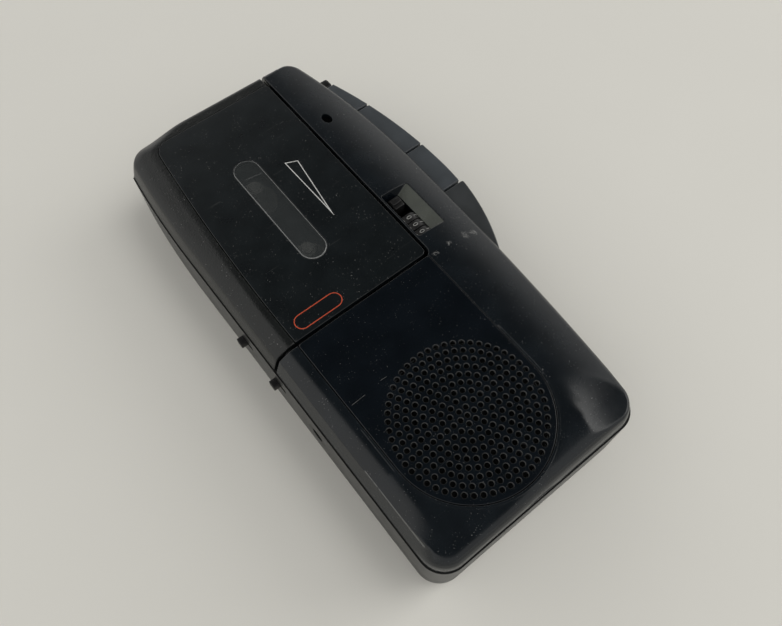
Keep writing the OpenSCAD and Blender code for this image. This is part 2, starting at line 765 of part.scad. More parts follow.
module spring_at(y) {
    n = 8 * spring_turns;
    sides = 6;
    path = coil(n);
    rings = [for (i = [0:n]) let (a = 360 * spring_turns * i / n) [for (k = [0:sides - 1])
        let (b = 360 * k / sides, out = spring_wire * cos(b))
        [path[i][0] + spring_wire * sin(b), path[i][1] + out * cos(a), path[i][2] + out * sin(a)]]];
    points = [for (r = rings, p = r) p];
    skin = [for (i = [0:n - 1], k = [0:sides - 1]) let (j = (k + 1) % sides)
        let (a = i * sides, b = a + sides) each [[a + k, a + j, b + j], [a + k, b + j, b + k]]];
    caps = [for (k = [1:sides - 2]) each [[0, k + 1, k], [n * sides, n * sides + k, n * sides + k + 1]]];
    translate([0, y, spring_z]) polyhedron(points, concat(skin, caps));
}

module record_spring() color("#c9ccd0") spring_at(button_mid(0));
module play_spring() color("#c9ccd0") spring_at(button_mid(1));
module stop_spring() color("#c9ccd0") spring_at(button_mid(2));

module wind_lever() color("#2b2c2e") difference() {
    translate([0, 0, button_z0]) linear_extrude(button_z1 - button_z0) intersection() {
        button_band();
        translate([button_in + 0.2, button_ends[4]])
            square([far, button_ends[3] - button_gap / 2 - button_ends[4]]);
    }
    post(lever_pivot, lever_pin_r + run_gap, [0, case_t]);
}

module lever_pin() color("#d7d9db") post(lever_pivot, lever_pin_r, [floor_z + 1.2, button_z1 + 0.2]);

// A knob outside the wall, its stem through the slot and a keeper inside. x runs outwards.
module side_knob(x, y, z) {
    box_at([x[2], x[3]], y, [z - 1.4, z + 1.4]);
    box_at([x[1], x[2] + 0.1], [y[0] + 0.4, y[1] - 0.4], [z - 0.6, z + 0.6]);
    box_at([x[0], x[1] + 0.1], y, [z - 1.7, z + 1.7]);
    for (i = [0:2]) post([x[3], y[0] + (y[1] - y[0]) * (i + 0.5) / 3], rib_r, [z - 1.2, z + 1.2]);
}

module left_switch(i) mirror([1, 0, 0])
    side_knob(
        [-inner_left - 1.6, -inner_left - 0.2, -left_x + 0.15, -left_x + switch_out - rib_r],
        switch_ends[i], switch_z
    );

module tape_speed_switch() color("#232528") left_switch(0);
module voice_switch() color("#232528") left_switch(1);

function bulge_at(y) = bulge_x - bulge_r_top + sqrt(pow(bulge_r_top, 2) - pow(y - bulge_y, 2));

module pause_switch() color("#1a1b1c") {
    foot = bulge_at(pause_y[0]) + 0.2;
    keeper = bulge_at(pause_y[1] + pause_travel) - 1.05 * wall - 0.1;
    side_knob([keeper - 0.8, keeper - 0.1, foot, foot + pause_out], pause_y, pause_z);
}

// Tape counter

module counter_frame() color("#4b4e52") difference() {
    union() {
        for (y = [frame_y[0], frame_y[1] - frame_t])
            box_at(frame_x, [y, y + frame_t], [frame_z, counter[2] + 1.4]);
        box_at(frame_x, [frame_y[0], reset[1] + 1.2], [frame_z, frame_z + 0.8]);
        // Foot on the deck
        box_at([frame_x[0], deck_x[1] - 0.2], [frame_y[1] - 5, frame_y[1]], [deck_top, frame_z + 0.2]);
    }
    bar_y(counter[0], [-far, far], counter[2], counter_shaft_r + fix_gap);
    post(reset, reset_stem_r + run_gap, [0, case_t]);
    // Room for the pinch roller and the head bracket
    post(roller, roller_r + 0.5, [0, case_t]);
}

module counter_shaft() color("#d7d9db") bar_y(counter[0], frame_y, counter[2], counter_shaft_r);

module counter_wheel(i) color("#efefe8") difference() {
    y = counter[1] + (i - 1) * wheel_pitch;
    bar_y(counter[0], [y - wheel_w / 2, y + wheel_w / 2], counter[2], wheel_r);
    bar_y(counter[0], [-far, far], counter[2], counter_shaft_r + run_gap);
}

module counter_units() counter_wheel(0);
module counter_tens() counter_wheel(1);
module counter_hundreds() counter_wheel(2);

module reset_button() color("#1a1b1c") {
    x = [reset[0] - reset_size[0] / 2, reset[0] + reset_size[0] / 2];
    y = [reset[1] - reset_size[1] / 2, reset[1] + reset_size[1] / 2];
    box_at(x, y, [case_t - 5, case_t - 1.1]);
    post(reset, reset_stem_r, [frame_z - 0.2, case_t - 4]);
}

// Sockets, dial and microphone

module volume_pot() color("#6f7275") {
    post(dial, 4.5, [floor_z, dial_z[0] - slide_gap]);
    post(dial, 1, [floor_z, dial_z[1] - 0.2]);
}

module volume_dial() color("#202124") difference() {
    post(dial, dial_r, dial_z);
    post(dial, 1 + run_gap, [0, case_t]);
    for (a = [0:10:350]) rotate_about(dial, a) post([dial[0] + dial_r + 0.2, dial[1]], 0.45, [0, case_t]);
}

module jack(x) difference() {
    union() {
        box_at([x - jack_half, x + jack_half], [inner_y1 - jack_len, inner_y1], [floor_z, jack_z + 4]);
        bar_y(x, [inner_y1 - 1, y1], jack_z, jack_half - 0.2);
    }
    bar_y(x, [inner_y1 - jack_len + 0.8, y1 + 1], jack_z, jack_r);
}

module ear_jack() color("#191a1b") jack(jack_xs[1]);
module mic_jack() color("#191a1b") jack(jack_xs[0]);

module dc_jack() color("#191a1b") difference() {
    union() {
        box_at([inner_left, inner_left + 8.4], [dc_y - 3, dc_y + 3], [dc_z - 3, dc_z + 3]);
        bar_x([left_x, inner_left + 1], dc_y, dc_z, dc_r + 1);
    }
    bar_x([left_x - 1, inner_left + 7.4], dc_y, dc_z, dc_r);
}

module microphone_capsule() color("#b0b3b6") post(mic, mic_r, [case_t - 5.2, case_t - 2.6]);

module microphone_boot() color("#262626") difference() {
    post(mic, mic_r + 0.8, [case_t - 5.5, case_t - 2.3]);
    post(mic, mic_r + fix_gap, [case_t - 5.2, case_t - 2.5]);
    post(mic, mic_hole_r, [case_t - 3, case_t]);
}

// Batteries

module cell(x, flip) {
    y = bay_y[0] + (bay_y[1] - bay_y[0] - cell_len) / 2;
    nub = flip ? [y, y + nub_len] : [y + cell_len - nub_len, y + cell_len];
    body = flip ? [y + nub_len - 0.1, y + cell_len] : [y, y + cell_len - nub_len + 0.1];
    bar_y(x, body, cell_z, cell_r);
    bar_y(x, nub, cell_z, nub_r);
}

module battery_cells() color("#b98b4b") {
    cell(bay_x - cell_r - 0.2, false);
    cell(bay_x + cell_r + 0.2, true);
}

module battery_contacts() color("#d2c08a") {
    box_at(
        [bay_x - 1.7 * cell_r, bay_x + 1.7 * cell_r], [bay_y[0], bay_y[0] + 0.4],
        [cover_z + 0.6, bay_roof_z - 1]
    );
    for (s = [-1, 1]) box_at(
        [bay_x + s * (cell_r + 0.2) - 4.5, bay_x + s * (cell_r + 0.2) + 4.5], [bay_y[1] - 0.4, bay_y[1]],
        [floor_z + 2.5, bay_roof_z - 1]
    );
}

module battery_cover() color("#2b2c2e") {
    difference() {
        intersection() {
            rear_body();
            cover_space(0);
        }
        rear_cavity();
        // Finger ridges across the slide direction
        for (i = [0:5])
            bar_x([bay_x - ridge_half, bay_x + ridge_half], cover_y - 4 - ridge_pitch * i, 0, ridge_r);
    }
}

rear_shell();
front_shell();
grille_plate();
speaker_frame();
speaker_magnet();
speaker_cone();
deck_plate();
deck_screws();
case_screws();
motor_body();
motor_pulley();
drive_belt();
flywheel();
capstan();
capstan_bearing();
reel_posts();
takeup_reel();
supply_reel();
idler_wheel();
head_bracket();
record_head();
erase_head();
pinch_roller();
circuit_board();
cassette_door();
door_panel();
door_window();
cassette_spring();
hinge_pin();
record_button();
play_button();
stop_button();
record_spring();
play_spring();
stop_spring();
wind_lever();
lever_pin();
pause_switch();
tape_speed_switch();
voice_switch();
counter_frame();
counter_shaft();
counter_units();
counter_tens();
counter_hundreds();
reset_button();
volume_pot();
volume_dial();
ear_jack();
mic_jack();
dc_jack();
microphone_capsule();
microphone_boot();
battery_cells();
battery_contacts();
battery_cover();
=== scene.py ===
# %% [markdown]
# # A pocket microcassette recorder
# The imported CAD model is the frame: it says where every piece sits and how it moves.
# This lesson dresses it. The moulded shells are rebuilt as smooth skins over the same outline,
# small parts are rebuilt with soft edges, and every surface gets a finish made of shader nodes.

# %% Load the frame
import json
import math

import bmesh
import bpy
import numpy as np
from mathutils import Matrix, Vector
from mathutils.geometry import delaunay_2d_cdt


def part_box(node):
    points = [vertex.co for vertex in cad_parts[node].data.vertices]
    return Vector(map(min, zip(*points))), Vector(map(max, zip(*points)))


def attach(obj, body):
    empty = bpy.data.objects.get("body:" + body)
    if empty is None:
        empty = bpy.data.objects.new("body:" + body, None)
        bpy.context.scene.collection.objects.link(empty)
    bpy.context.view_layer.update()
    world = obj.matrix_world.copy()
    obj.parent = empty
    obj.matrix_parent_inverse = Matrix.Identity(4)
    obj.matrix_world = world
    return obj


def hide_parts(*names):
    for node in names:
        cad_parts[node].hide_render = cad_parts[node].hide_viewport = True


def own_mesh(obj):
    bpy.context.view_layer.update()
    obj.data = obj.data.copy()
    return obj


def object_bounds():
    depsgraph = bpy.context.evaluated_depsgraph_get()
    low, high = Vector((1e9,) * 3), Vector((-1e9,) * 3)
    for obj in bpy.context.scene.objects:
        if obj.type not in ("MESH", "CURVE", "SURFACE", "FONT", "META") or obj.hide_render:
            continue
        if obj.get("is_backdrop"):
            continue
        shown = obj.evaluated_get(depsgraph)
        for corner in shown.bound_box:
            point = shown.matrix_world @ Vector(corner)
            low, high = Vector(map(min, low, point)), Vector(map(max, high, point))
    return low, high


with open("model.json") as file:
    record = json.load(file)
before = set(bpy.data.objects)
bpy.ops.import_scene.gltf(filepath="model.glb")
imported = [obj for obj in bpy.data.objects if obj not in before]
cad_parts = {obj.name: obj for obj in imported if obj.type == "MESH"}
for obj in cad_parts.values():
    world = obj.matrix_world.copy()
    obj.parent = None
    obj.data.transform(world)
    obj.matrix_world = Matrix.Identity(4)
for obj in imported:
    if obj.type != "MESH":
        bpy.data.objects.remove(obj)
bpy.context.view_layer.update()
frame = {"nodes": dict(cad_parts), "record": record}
MM = 0.001


# The lowest and highest corner of a CAD node in millimetres
def box_mm(node):
    low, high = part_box(node)
    return np.round(np.array(low) / MM, 3), np.round(np.array(high) / MM, 3)


# Show a mesh, a curve, a lamp or a camera as an object of the scene
def shown(name, data):
    made = bpy.data.objects.new(name, data)
    bpy.context.scene.collection.objects.link(made)
    return made


# %% [markdown]
# ## Camera
# The photograph was taken by hand from the front left, looking steeply down. The camera's place and
# turn were found by fitting the speaker's ring of holes and the straight seams, so the matrix is
# written out. A camera aimed by eye would never line up with the picture to a pixel.

# %% Camera
camera_turn = Matrix((
    (0.7844259, 0.55455273, -0.27775398),
    (-0.62021125, 0.69865491, -0.35667817),
    (-0.00374267, 0.45205374, 0.89198285),
))
camera_place = Vector((-0.04485, -0.06528, 0.15272))
PICTURE_WIDTH, FOCAL_PIXELS = 782, 698.68
lens = bpy.data.cameras.new("photo_camera")
lens.sensor_width = 36
lens.lens = FOCAL_PIXELS / PICTURE_WIDTH * lens.sensor_width
lens.clip_start = 0.005
camera = shown("photo_camera", lens)
camera.matrix_world = Matrix.Translation(camera_place) @ camera_turn.to_4x4()
bpy.context.scene.camera = camera
bpy.context.scene.view_settings.view_transform = "Standard"
print("camera lens", round(lens.lens, 2), "mm")

# %% [markdown]
# ## Node trees as plain expressions
# A finish is easier to read as a formula than as a row of node calls. `Wire` wraps one socket and
# turns +, -, * and / into Math nodes. `Tree` adds any node by its type, its settings and its sockets.
# The same two classes serve materials, the world and Geometry Nodes.

# %% Wires and trees
class Wire:
    def __init__(self, tree, socket):
        self.tree = tree
        self.socket = socket

    def maths(self, operation, a, b=0.0):
        return self.tree.node("ShaderNodeMath", {"operation": operation}, {0: a, 1: b})

    def __add__(self, other):
        return self.maths("ADD", self, other)

    def __radd__(self, other):
        return self.maths("ADD", other, self)

    def __sub__(self, other):
        return self.maths("SUBTRACT", self, other)

    def __rsub__(self, other):
        return self.maths("SUBTRACT", other, self)

    def __mul__(self, other):
        return self.maths("MULTIPLY", self, other)

    def __rmul__(self, other):
        return self.maths("MULTIPLY", other, self)

    def __truediv__(self, other):
        return self.maths("DIVIDE", self, other)


class Tree:
    def __init__(self, nodes):
        self.tree = nodes

    def node(self, kind, settings=None, sockets=None, out=0):
        made = self.tree.nodes.new(kind)
        for key, value in (settings or {}).items():
            setattr(made, key, value)
        for key, value in (sockets or {}).items():
            self.feed(made.inputs[key], value)
        return Wire(self, made.outputs[out])

    def feed(self, socket, value):
        if isinstance(value, Wire):
            self.tree.links.new(value.socket, socket)
        elif isinstance(value, tuple) and len(value) == 3 and socket.type == "RGBA":
            socket.default_value = (*value, 1)
        else:
            socket.default_value = value


print("node helpers ready")

# %% [markdown]
# ## A finish
# `Finish` is a material with a few named ways to make a mask: noise in millimetres, a soft step, a
# value stored on the mesh, a chip at a point and a scratch between two points. They all read Object
# coordinates, so a mark stays where it was put, also when the material is baked.

# %% Finish
class Finish(Tree):
    def __init__(self, name):
        self.material = bpy.data.materials.new(name)
        self.material.use_nodes = True
        super().__init__(self.material.node_tree)
        self.shader = self.tree.nodes["Principled BSDF"]

    def set(self, **values):
        for key, value in values.items():
            self.feed(self.shader.inputs[key.replace("_", " ")], value)
        return self.material

    # Object coordinates in millimetres, stretched by a factor along each axis
    def place(self, stretch=(1, 1, 1), turn=0.0):
        where = self.node("ShaderNodeTexCoord", out=3)
        return self.node("ShaderNodeMapping", {}, {
            "Vector": where, "Rotation": (0, 0, turn), "Scale": tuple(s / MM for s in stretch)})

    def noise(self, size, detail=2.0, rough=0.5, stretch=(1, 1, 1), turn=0.0):
        return self.node("ShaderNodeTexNoise", {}, {
            "Vector": self.place(stretch, turn), "Scale": 1 / size, "Detail": detail, "Roughness": rough})

    # 0 below low, 1 above high
    def step(self, value, low, high):
        return self.node("ShaderNodeMapRange", {"interpolation_type": "SMOOTHSTEP"}, {
            "Value": value, "From Min": low, "From Max": high, "To Min": 0.0, "To Max": 1.0})

    def blend(self, amount, a, b):
        return self.node("ShaderNodeMix", {"data_type": "RGBA"}, {"Factor": amount, 6: a, 7: b}, out=2)

    def bump(self, height, depth):
        return self.node("ShaderNodeBump", {}, {"Height": height, "Distance": depth * MM})

    def stored(self, name):
        return self.node("ShaderNodeAttribute", {"attribute_name": name}, {}, out=2)

    def vector(self, operation, a, b, out=0):
        return self.node("ShaderNodeVectorMath", {"operation": operation}, {0: a, 1: b}, out)

    # A patch of small ragged chips, of radius r, seen from the front
    def chip(self, x, y, r):
        gap = self.vector("DISTANCE", self.place((1, 1, 0)), (x, y, 0), 1)
        patch = 1 - self.step(gap + (self.noise(0.8, 2) - 0.5) * r * 1.5, r * 0.4, r)
        return patch * self.step(self.noise(0.3, 3, 0.6), 0.47, 0.58)

    # A straight mark between two points seen from the front
    def cut(self, start, end, width):
        run = Vector(end) - Vector(start)
        along = run.normalized()
        offset = self.vector("SUBTRACT", self.place((1, 1, 0)), (*start, 0))
        u = self.vector("DOT_PRODUCT", offset, (along.x, along.y, 0), 1)
        w = self.vector("DOT_PRODUCT", offset, (-along.y, along.x, 0), 1)
        thin = 1 - self.step(w * w, (width * 0.3) ** 2, width ** 2)
        return thin * self.step(u, 0.0, 0.4) * self.step(run.length - u, 0.0, 0.4)


print("finish helper ready")

# %% [markdown]
# ## Moulded plastic
# Every moulded part is black plastic with a fine texture, but the parts have worn differently:
# edges are rubbed grey, partly as wear and partly as a painted highlight along each edge, dust sits
# in the texture, and hairline scratches cross the face. The masks come from noise in object space,
# and from an `edge` value that each rebuilt piece stores: the distance in millimetres to its nearest
# edge. Chips and long scratches are placed one by one.

# %% Moulded plastic
# A lighter grey for rubbed edges and long marks: partly wear, partly a painted highlight
WORN_AND_HIGHLIGHT_GREY, DUST_GREY = (0.15, 0.15, 0.145), (0.16, 0.16, 0.155)
CHIP_GREY, SCRATCH_GREY = (0.17, 0.17, 0.165), (0.09, 0.09, 0.09)
MOTTLE, SPECK, SPECK_PATCH, HAIRLINE, HAIRLINE_PATCH, RUB_AND_HIGHLIGHT = 6.0, 0.28, 4.0, 0.5, 9.0, 0.45
LINES_STRETCH, LINES_TURN = (0.03, 1.6, 1), 0.5
CROSS_STRETCH, CROSS_TURN = (0.04, 1.4, 1), -0.9


def shade(colour, amount):
    return tuple(c * amount for c in colour)


def moulded(
        name, colour, rough, grain=0.25, depth=0.02, dust=0.6, scratch=0.5, worn_and_highlight=0.0,
        chips=(), cuts=(), gloss=0.5):
    f = Finish(name)
    mottle = f.noise(MOTTLE, 4)
    tone = f.blend(f.step(mottle, 0.3, 0.7), shade(colour, 0.85), shade(colour, 1.15))
    specks = f.step(f.noise(SPECK, 1), 0.715, 0.755) * f.step(f.noise(SPECK_PATCH, 2), 0.42, 0.6) * dust
    tone = f.blend(specks, tone, DUST_GREY)
    lines = f.step(f.noise(HAIRLINE, 2, 0.4, LINES_STRETCH, LINES_TURN), 0.735, 0.76)
    cross = f.step(f.noise(HAIRLINE, 2, 0.4, CROSS_STRETCH, CROSS_TURN), 0.745, 0.77)
    marks = (lines + cross) * f.step(f.noise(HAIRLINE_PATCH, 1), 0.5, 0.62) * scratch
    tone = f.blend(marks * 0.4, tone, SCRATCH_GREY)
    shine = rough + (mottle - 0.5) * 0.1 + marks * 0.15
    # Long marks in a lighter grey: scratches, and along the left crest partly a painted highlight
    for start, end, width in cuts:
        mark = f.cut(start, end, width) * f.step(f.noise(0.7, 3), 0.25, 0.45)
        tone = f.blend(mark * 0.6, tone, WORN_AND_HIGHLIGHT_GREY)
    for x, y, r in chips:
        tone = f.blend(f.chip(x, y, r) * 0.8, tone, CHIP_GREY)
    # Edges rubbed grey: partly wear, partly a painted highlight of the light that edges catch
    if worn_and_highlight:
        rub = (1 - f.step(f.stored("edge"), 0.03, 0.4)) * f.step(f.noise(RUB_AND_HIGHLIGHT, 4, 0.7), 0.52, 0.7) * worn_and_highlight
        tone = f.blend(rub, tone, WORN_AND_HIGHLIGHT_GREY)
        shine = shine - rub * 0.15
    texture = f.noise(grain, 2, 0.6) - marks * 0.6
    return f.set(Base_Color=tone, Roughness=shine, Normal=f.bump(texture, depth), Specular_IOR_Level=gloss)


strip_chips = [(22.9, -8.4, 1.1), (20.6, -8.2, 1.2), (16.0, -7.9, 0.8), (11.8, -8.4, 0.9)]
# A lighter grey line along the lower left crest: partly rubbed wear, partly a painted highlight of that
# edge
crest_wear_and_highlight = [((-28.75, -36), (-28.75, -54), 0.13)]
panel_cuts = [((-23.3, -24.8), (-19.6, -24.7), 0.06), ((-15.8, -24.2), (-14.0, -24.3), 0.06)]
case_black = moulded(
    "case_black_texture", (0.0042, 0.0062, 0.0082), 0.26, dust=0.7, scratch=0.15, worn_and_highlight=0.15,
    chips=strip_chips, cuts=crest_wear_and_highlight, gloss=0.38)
door_black = moulded(
    "door_black_texture", (0.005, 0.006, 0.006), 0.31, grain=0.4, depth=0.07, dust=0.9, worn_and_highlight=0.3,
    gloss=0.38)
back_black = moulded(
    "back_black_satin", (0.007, 0.0074, 0.0072), 0.36, depth=0.012, dust=0.3, scratch=0.4, gloss=0.35)
panel_satin = moulded("panel_black_satin", (0.0033, 0.0052, 0.0063), 0.29, 0.18, 0.006, 0.9, 0.7)
grille_gloss = moulded(
    "grille_blue_black", (0.0018, 0.0034, 0.0054), 0.22, 0.16, 0.005, 0.4, 0.6, cuts=panel_cuts)
button_grey = moulded("button_blue_grey", (0.039, 0.045, 0.051), 0.42, 0.2, 0.012, 0.2, 0.3, worn_and_highlight=0.2)
lever_grey = moulded("lever_dark_grey", (0.026, 0.029, 0.031), 0.42, 0.2, 0.012, 0.2, 0.3, worn_and_highlight=0.2)
knob_black = moulded("knob_black", (0.003, 0.003, 0.0033), 0.38, 0.2, 0.01, 0.4, 0.2, gloss=0.3)
# The ramp's lighter olive grey is a painted sheen on faces turned up to the left; its coarse texture is
# its own
ramp_sheen_grey = moulded("ramp_textured_grey", (0.048, 0.053, 0.045), 0.45, 0.35, 0.09, 1.0, 0.4)
# The rims' lighter grey is a painted highlight: the thin ring of light a countersink catches
rim_highlight_grey = moulded("perforation_rim", (0.017, 0.018, 0.018), 0.26, 0.3, 0.01, 0.3, 0.0)
drum_black = moulded("drum_black", (0.005, 0.005, 0.0052), 0.4, 0.2, 0.006, 0.3, 0.0)
print("moulded finishes: 11")

# %% [markdown]
# ## Metals, rubber, paper, window and print
# The deck inside is plated and turned metal with a lay that follows the tool, the belts and rollers
# are dull rubber, and the smoked window is a tinted sheet whose rim is painted a light grey as a
# highlight. Its tint is partly see through, so the hubs show as ghosts. The printed marks wear thin
# in spots.

# %% Other finishes
def metal(name, colour, rough, lay=(0.1, 3, 1)):
    f = Finish(name)
    brush = f.noise(0.4, 3, 0.6, lay)
    return f.set(
        Base_Color=f.blend(brush, shade(colour, 0.85), colour), Metallic=1.0,
        Roughness=rough + (brush - 0.5) * 0.15, Normal=f.bump(brush, 0.004))


def soft(name, colour, rough, size=0.5, gloss=0.5):
    f = Finish(name)
    spots = f.noise(size, 4, 0.6)
    return f.set(
        Base_Color=f.blend(spots, shade(colour, 0.75), shade(colour, 1.2)),
        Roughness=rough + (spots - 0.5) * 0.1, Normal=f.bump(spots, 0.015), Specular_IOR_Level=gloss)


SMOKE_DARK, SMOKE_PALE = (0.030, 0.034, 0.035), (0.042, 0.047, 0.048)
# The window's light grey rim is a painted highlight of its bevel
LINE_GREY, RIM_HIGHLIGHT_GREY = (0.16, 0.165, 0.165), (0.20, 0.205, 0.205)
CROSS_LINE, CROSS_WIDE, SEE_THROUGH = ((-9.94, 33.6), (-5.41, 32.94)), 0.09, 0.5


def smoked(name):
    f = Finish(name)
    haze = f.noise(3.0, 4)
    # The rim is painted a light grey as the highlight its bevel catches
    rim = 1 - f.step(f.stored("edge"), 0.10, 0.26)
    line = f.cut(*CROSS_LINE, CROSS_WIDE) * 0.5
    body = f.blend(line, f.blend(haze, SMOKE_DARK, SMOKE_PALE), LINE_GREY)
    return f.set(
        Base_Color=f.blend(rim, body, RIM_HIGHLIGHT_GREY), Roughness=0.2 + haze * 0.1,
        Alpha=SEE_THROUGH + rim * (1 - SEE_THROUGH) + line * (1 - rim) * (1 - SEE_THROUGH))


def printed(name, colour):
    f = Finish(name)
    rub = f.step(f.noise(0.8, 4, 0.7), 0.3, 0.55)
    return f.set(Base_Color=f.blend(rub, shade(colour, 0.65), colour), Roughness=0.55)


steel = metal("ground_steel", (0.62, 0.62, 0.62), 0.25)
plated = metal("zinc_plate", (0.52, 0.53, 0.55), 0.35)
can = metal("turned_can", (0.56, 0.57, 0.58), 0.32, (2, 2, 0.2))
brass = metal("turned_brass", (0.70, 0.50, 0.20), 0.28)
rubber = soft("black_rubber", (0.008, 0.008, 0.008), 0.8)
# The microphone felt is near black and barely shiny: a sheet that paints the shade inside the hole
felt_shade_black = soft("microphone_felt", (0.0015, 0.0015, 0.0016), 0.95, 0.2, 0.05)
paper = soft("pressed_cone_paper", (0.012, 0.012, 0.012), 0.9, 0.3)
board = soft("lacquered_board", (0.02, 0.12, 0.05), 0.3, 1.5)
pale = soft("ivory_plastic", (0.62, 0.61, 0.57), 0.35, 1.0)
wrap = soft("cell_sleeve", (0.35, 0.20, 0.05), 0.3, 2.0)
window_smoke = smoked("smoked_window")
white_ink = printed("white_print", (0.50, 0.50, 0.49))
orange_ink = printed("orange_print", (0.42, 0.055, 0.02))
digit_ink = printed("counter_digit_print", (0.26, 0.26, 0.25))
print("metal, soft, window and print finishes: 14")

# %% [markdown]
# ## Finishes for the pieces that stay as CAD
# Parts inside the case keep their CAD shape, so they only need a finish. The record gives each of
# them a material slot, and one table from slot to finish dresses them all in a loop.

# %% Dress the CAD nodes
slot_finish = {
    "case_dark": back_black, "panel_dark": panel_satin, "grille_dark": grille_gloss,
    "button_grey": button_grey, "window_smoke": window_smoke, "black_plastic": knob_black,
    "black_rubber": rubber, "bright_steel": steel, "plated_steel": plated, "can_metal": can,
    "yellow_brass": brass, "pale_plastic": pale, "cone_paper": paper, "board_green": board,
    "cell_wrap": wrap,
}
for part in frame["record"]["subparts"]:
    mesh = frame["nodes"][part["node"]].data
    mesh.materials.clear()
    mesh.materials.append(slot_finish[part["material_slot"]])

# %% [markdown]
# ## The outline of the case
# Seen from the front, the case is a rounded rectangle whose right wall bulges and whose left wall
# bows in towards the top. One function gives the inset, the distance from a point to that outline.
# Everything else is written with it: the outline itself, the rounded shoulder, and every rim.

# %% Sizes in millimetres
case_low, case_high = box_mm("rear_shell")
LEFT, BOTTOM = case_low[0], case_low[1]
RIGHT, TOP = case_high[0], case_high[1]
FACE = box_mm("door_panel")[1][2]
CORNER, MIC_CORNER = 5.5, 3.4
SPLIT = 18.7
BULGE_Y, BULGE_R_TOP, BULGE_R_LOW = 17.6, 146.0, 646.0
BOW_Y, BOW_R = 26.6, 260.0
SEAM_X, SEAM_Y, SEAM_R, SEAM_HALF = 10.8, -7.4, 1.5, 0.40
SPEAKER, PANEL_R = (-6.9, -40.2), 17.1


# The inset from a round corner between two edges that lie at a and b
def rounded(a, b, r):
    turned = r - np.hypot(np.maximum(r - a, 0), np.maximum(r - b, 0))
    return np.where((a < r) & (b < r), turned, np.minimum(a, b))


def inset(x, y):
    bow = np.where(y > BOW_Y, BOW_R - np.hypot(x - LEFT - BOW_R, y - BOW_Y), x - LEFT)
    big = np.where(y > BULGE_Y, BULGE_R_TOP, BULGE_R_LOW)
    bulge = big - np.hypot(x - (RIGHT - big), y - BULGE_Y)
    corner = np.where((x > 0) & (y > 0), MIC_CORNER, CORNER)
    return rounded(np.minimum(bow, bulge), np.minimum(y - BOTTOM, TOP - y), corner)


# Walk a polyline in even steps
def even(line, step):
    line = np.asarray(line, float)
    run = np.concatenate([[0], np.cumsum(np.hypot(*np.diff(line, axis=0).T))])
    stops = np.linspace(0, run[-1], max(2, int(run[-1] / step) + 1))
    return np.stack([np.interp(stops, run, line[:, 0]), np.interp(stops, run, line[:, 1])], 1)


# The closed loop where an inside function has one value, found by halving along rays from a centre
def ring(inside, centre, level=0.0, step=0.7, rays=1440):
    turn = np.linspace(0, 2 * np.pi, rays + 1)
    ray = np.stack([np.cos(turn), np.sin(turn)], 1)
    near, far = np.zeros(len(turn)), np.full(len(turn), 90.0)
    for _ in range(36):
        middle = (near + far) / 2
        within = inside(centre[0] + ray[:, 0] * middle, centre[1] + ray[:, 1] * middle) > level
        near, far = np.where(within, middle, near), np.where(within, far, middle)
    return even(ray * near[:, None] + np.asarray(centre), step)


print("outline length", round(float(np.hypot(*np.diff(ring(inset, (-2, 0)), axis=0).T).sum()), 1), "mm")

# %% [markdown]
# ## One height for the whole front
# The door and the front shell were moulded to look like one surface, so they share one height
# function: a flat face, a bevel along the left that widens towards the top, a rounded strip that
# falls away under the thumb on the right, a facet at the lower right corner, and a shoulder that
# turns down into the side walls, softer on the left than on the right. A subdivision cage would need
# many loops to hold these lines, while a height function holds them exactly.

# %% Front height
def soft_min(a, b, k):
    h = np.maximum(k - np.abs(a - b), 0) / k
    return np.minimum(a, b) - h * h * k / 4


def smooth(low, high, value):
    t = np.clip((value - low) / (high - low), 0, 1)
    return t * t * (3 - 2 * t)


# How far a rounded edge of radius r has dropped at a distance e from the edge
def round_off(e, r):
    e = np.clip(e, 0, r)
    return r - np.sqrt(np.maximum(r * r - (r - e) ** 2, 0))


FINE = 0.01


# A section through the shoulder, rounded by a running mean so that no crease shows
def section(points, width):
    fine = np.arange(0, 9, FINE)
    z = np.interp(fine, *np.array(points, float).T)
    window = np.hanning(int(width / FINE) | 1)
    pad = len(window) // 2
    z = np.convolve(np.pad(z, pad, mode="reflect", reflect_type="odd"), window / window.sum(), "valid")
    return lambda depth: np.interp(depth, fine, z)


SOFTEN, SOFTEN_DRAFT = 0.3, 0.12
soft_shoulder = section([
    (0, 17.7), (0.3, 18.8), (0.55, 19.6), (0.8, 20.4), (1.15, 21.45), (1.45, 22.1), (1.8, 22.5),
    (2.3, 22.82), (3.0, 23.25), (3.8, 23.7), (4.6, 24.1), (6.0, 24.7), (9, 26)], SOFTEN)
crisp_shoulder = section([
    (0, 17), (0.1, 18.7), (0.25, 21.0), (0.5, 22.2), (0.9, 23.0), (1.4, 23.6), (2.0, 24.0), (3, 24.5),
    (9, 28)], SOFTEN)
round_shoulder = section([
    (0, 16.5), (0.3, 18.8), (0.45, 20.2), (0.7, 21.3), (1.1, 22.3), (1.6, 22.95), (2.2, 23.42),
    (3.0, 23.8), (4.0, 24.1), (6, 24.6), (9, 25.4)], SOFTEN)
draft_shoulder = section([(0, 18), (0.3, 18.8), (1.75, 22.75), (2.2, 24), (9, 40)], SOFTEN_DRAFT)
bevel_line = np.array([
    (-60.4, -25.0), (-30, -25.3), (-8, -25.6), (-3.9, -25.6), (7.2, -25.4), (21.2, -24.6), (29.6, -24.0),
    (39.6, -23.3), (50, -22.3), (59.6, -21.2)])
BEVEL_DROP, BEVEL_OUT = 1.15, 2.2
CONVEX_FALL, CONVEX_TURN, CONVEX_Y = 0.65, 0.5, (-58, -45)
CROWN_X, CROWN_R = 9.8, 39.5
FACET_AT, FACET_TO, FACET_Y = (13.3, -44.0), (0.966, -0.258), (-55, -40)
FACET_FALL, FACET_REACH, FACET_DROP = 0.38, 4.5, 0.1
RIM_IN, RIGHT_ROUND = 0.3, 1.4


def bevel_x(y):
    return np.interp(y, bevel_line[:, 0], bevel_line[:, 1])


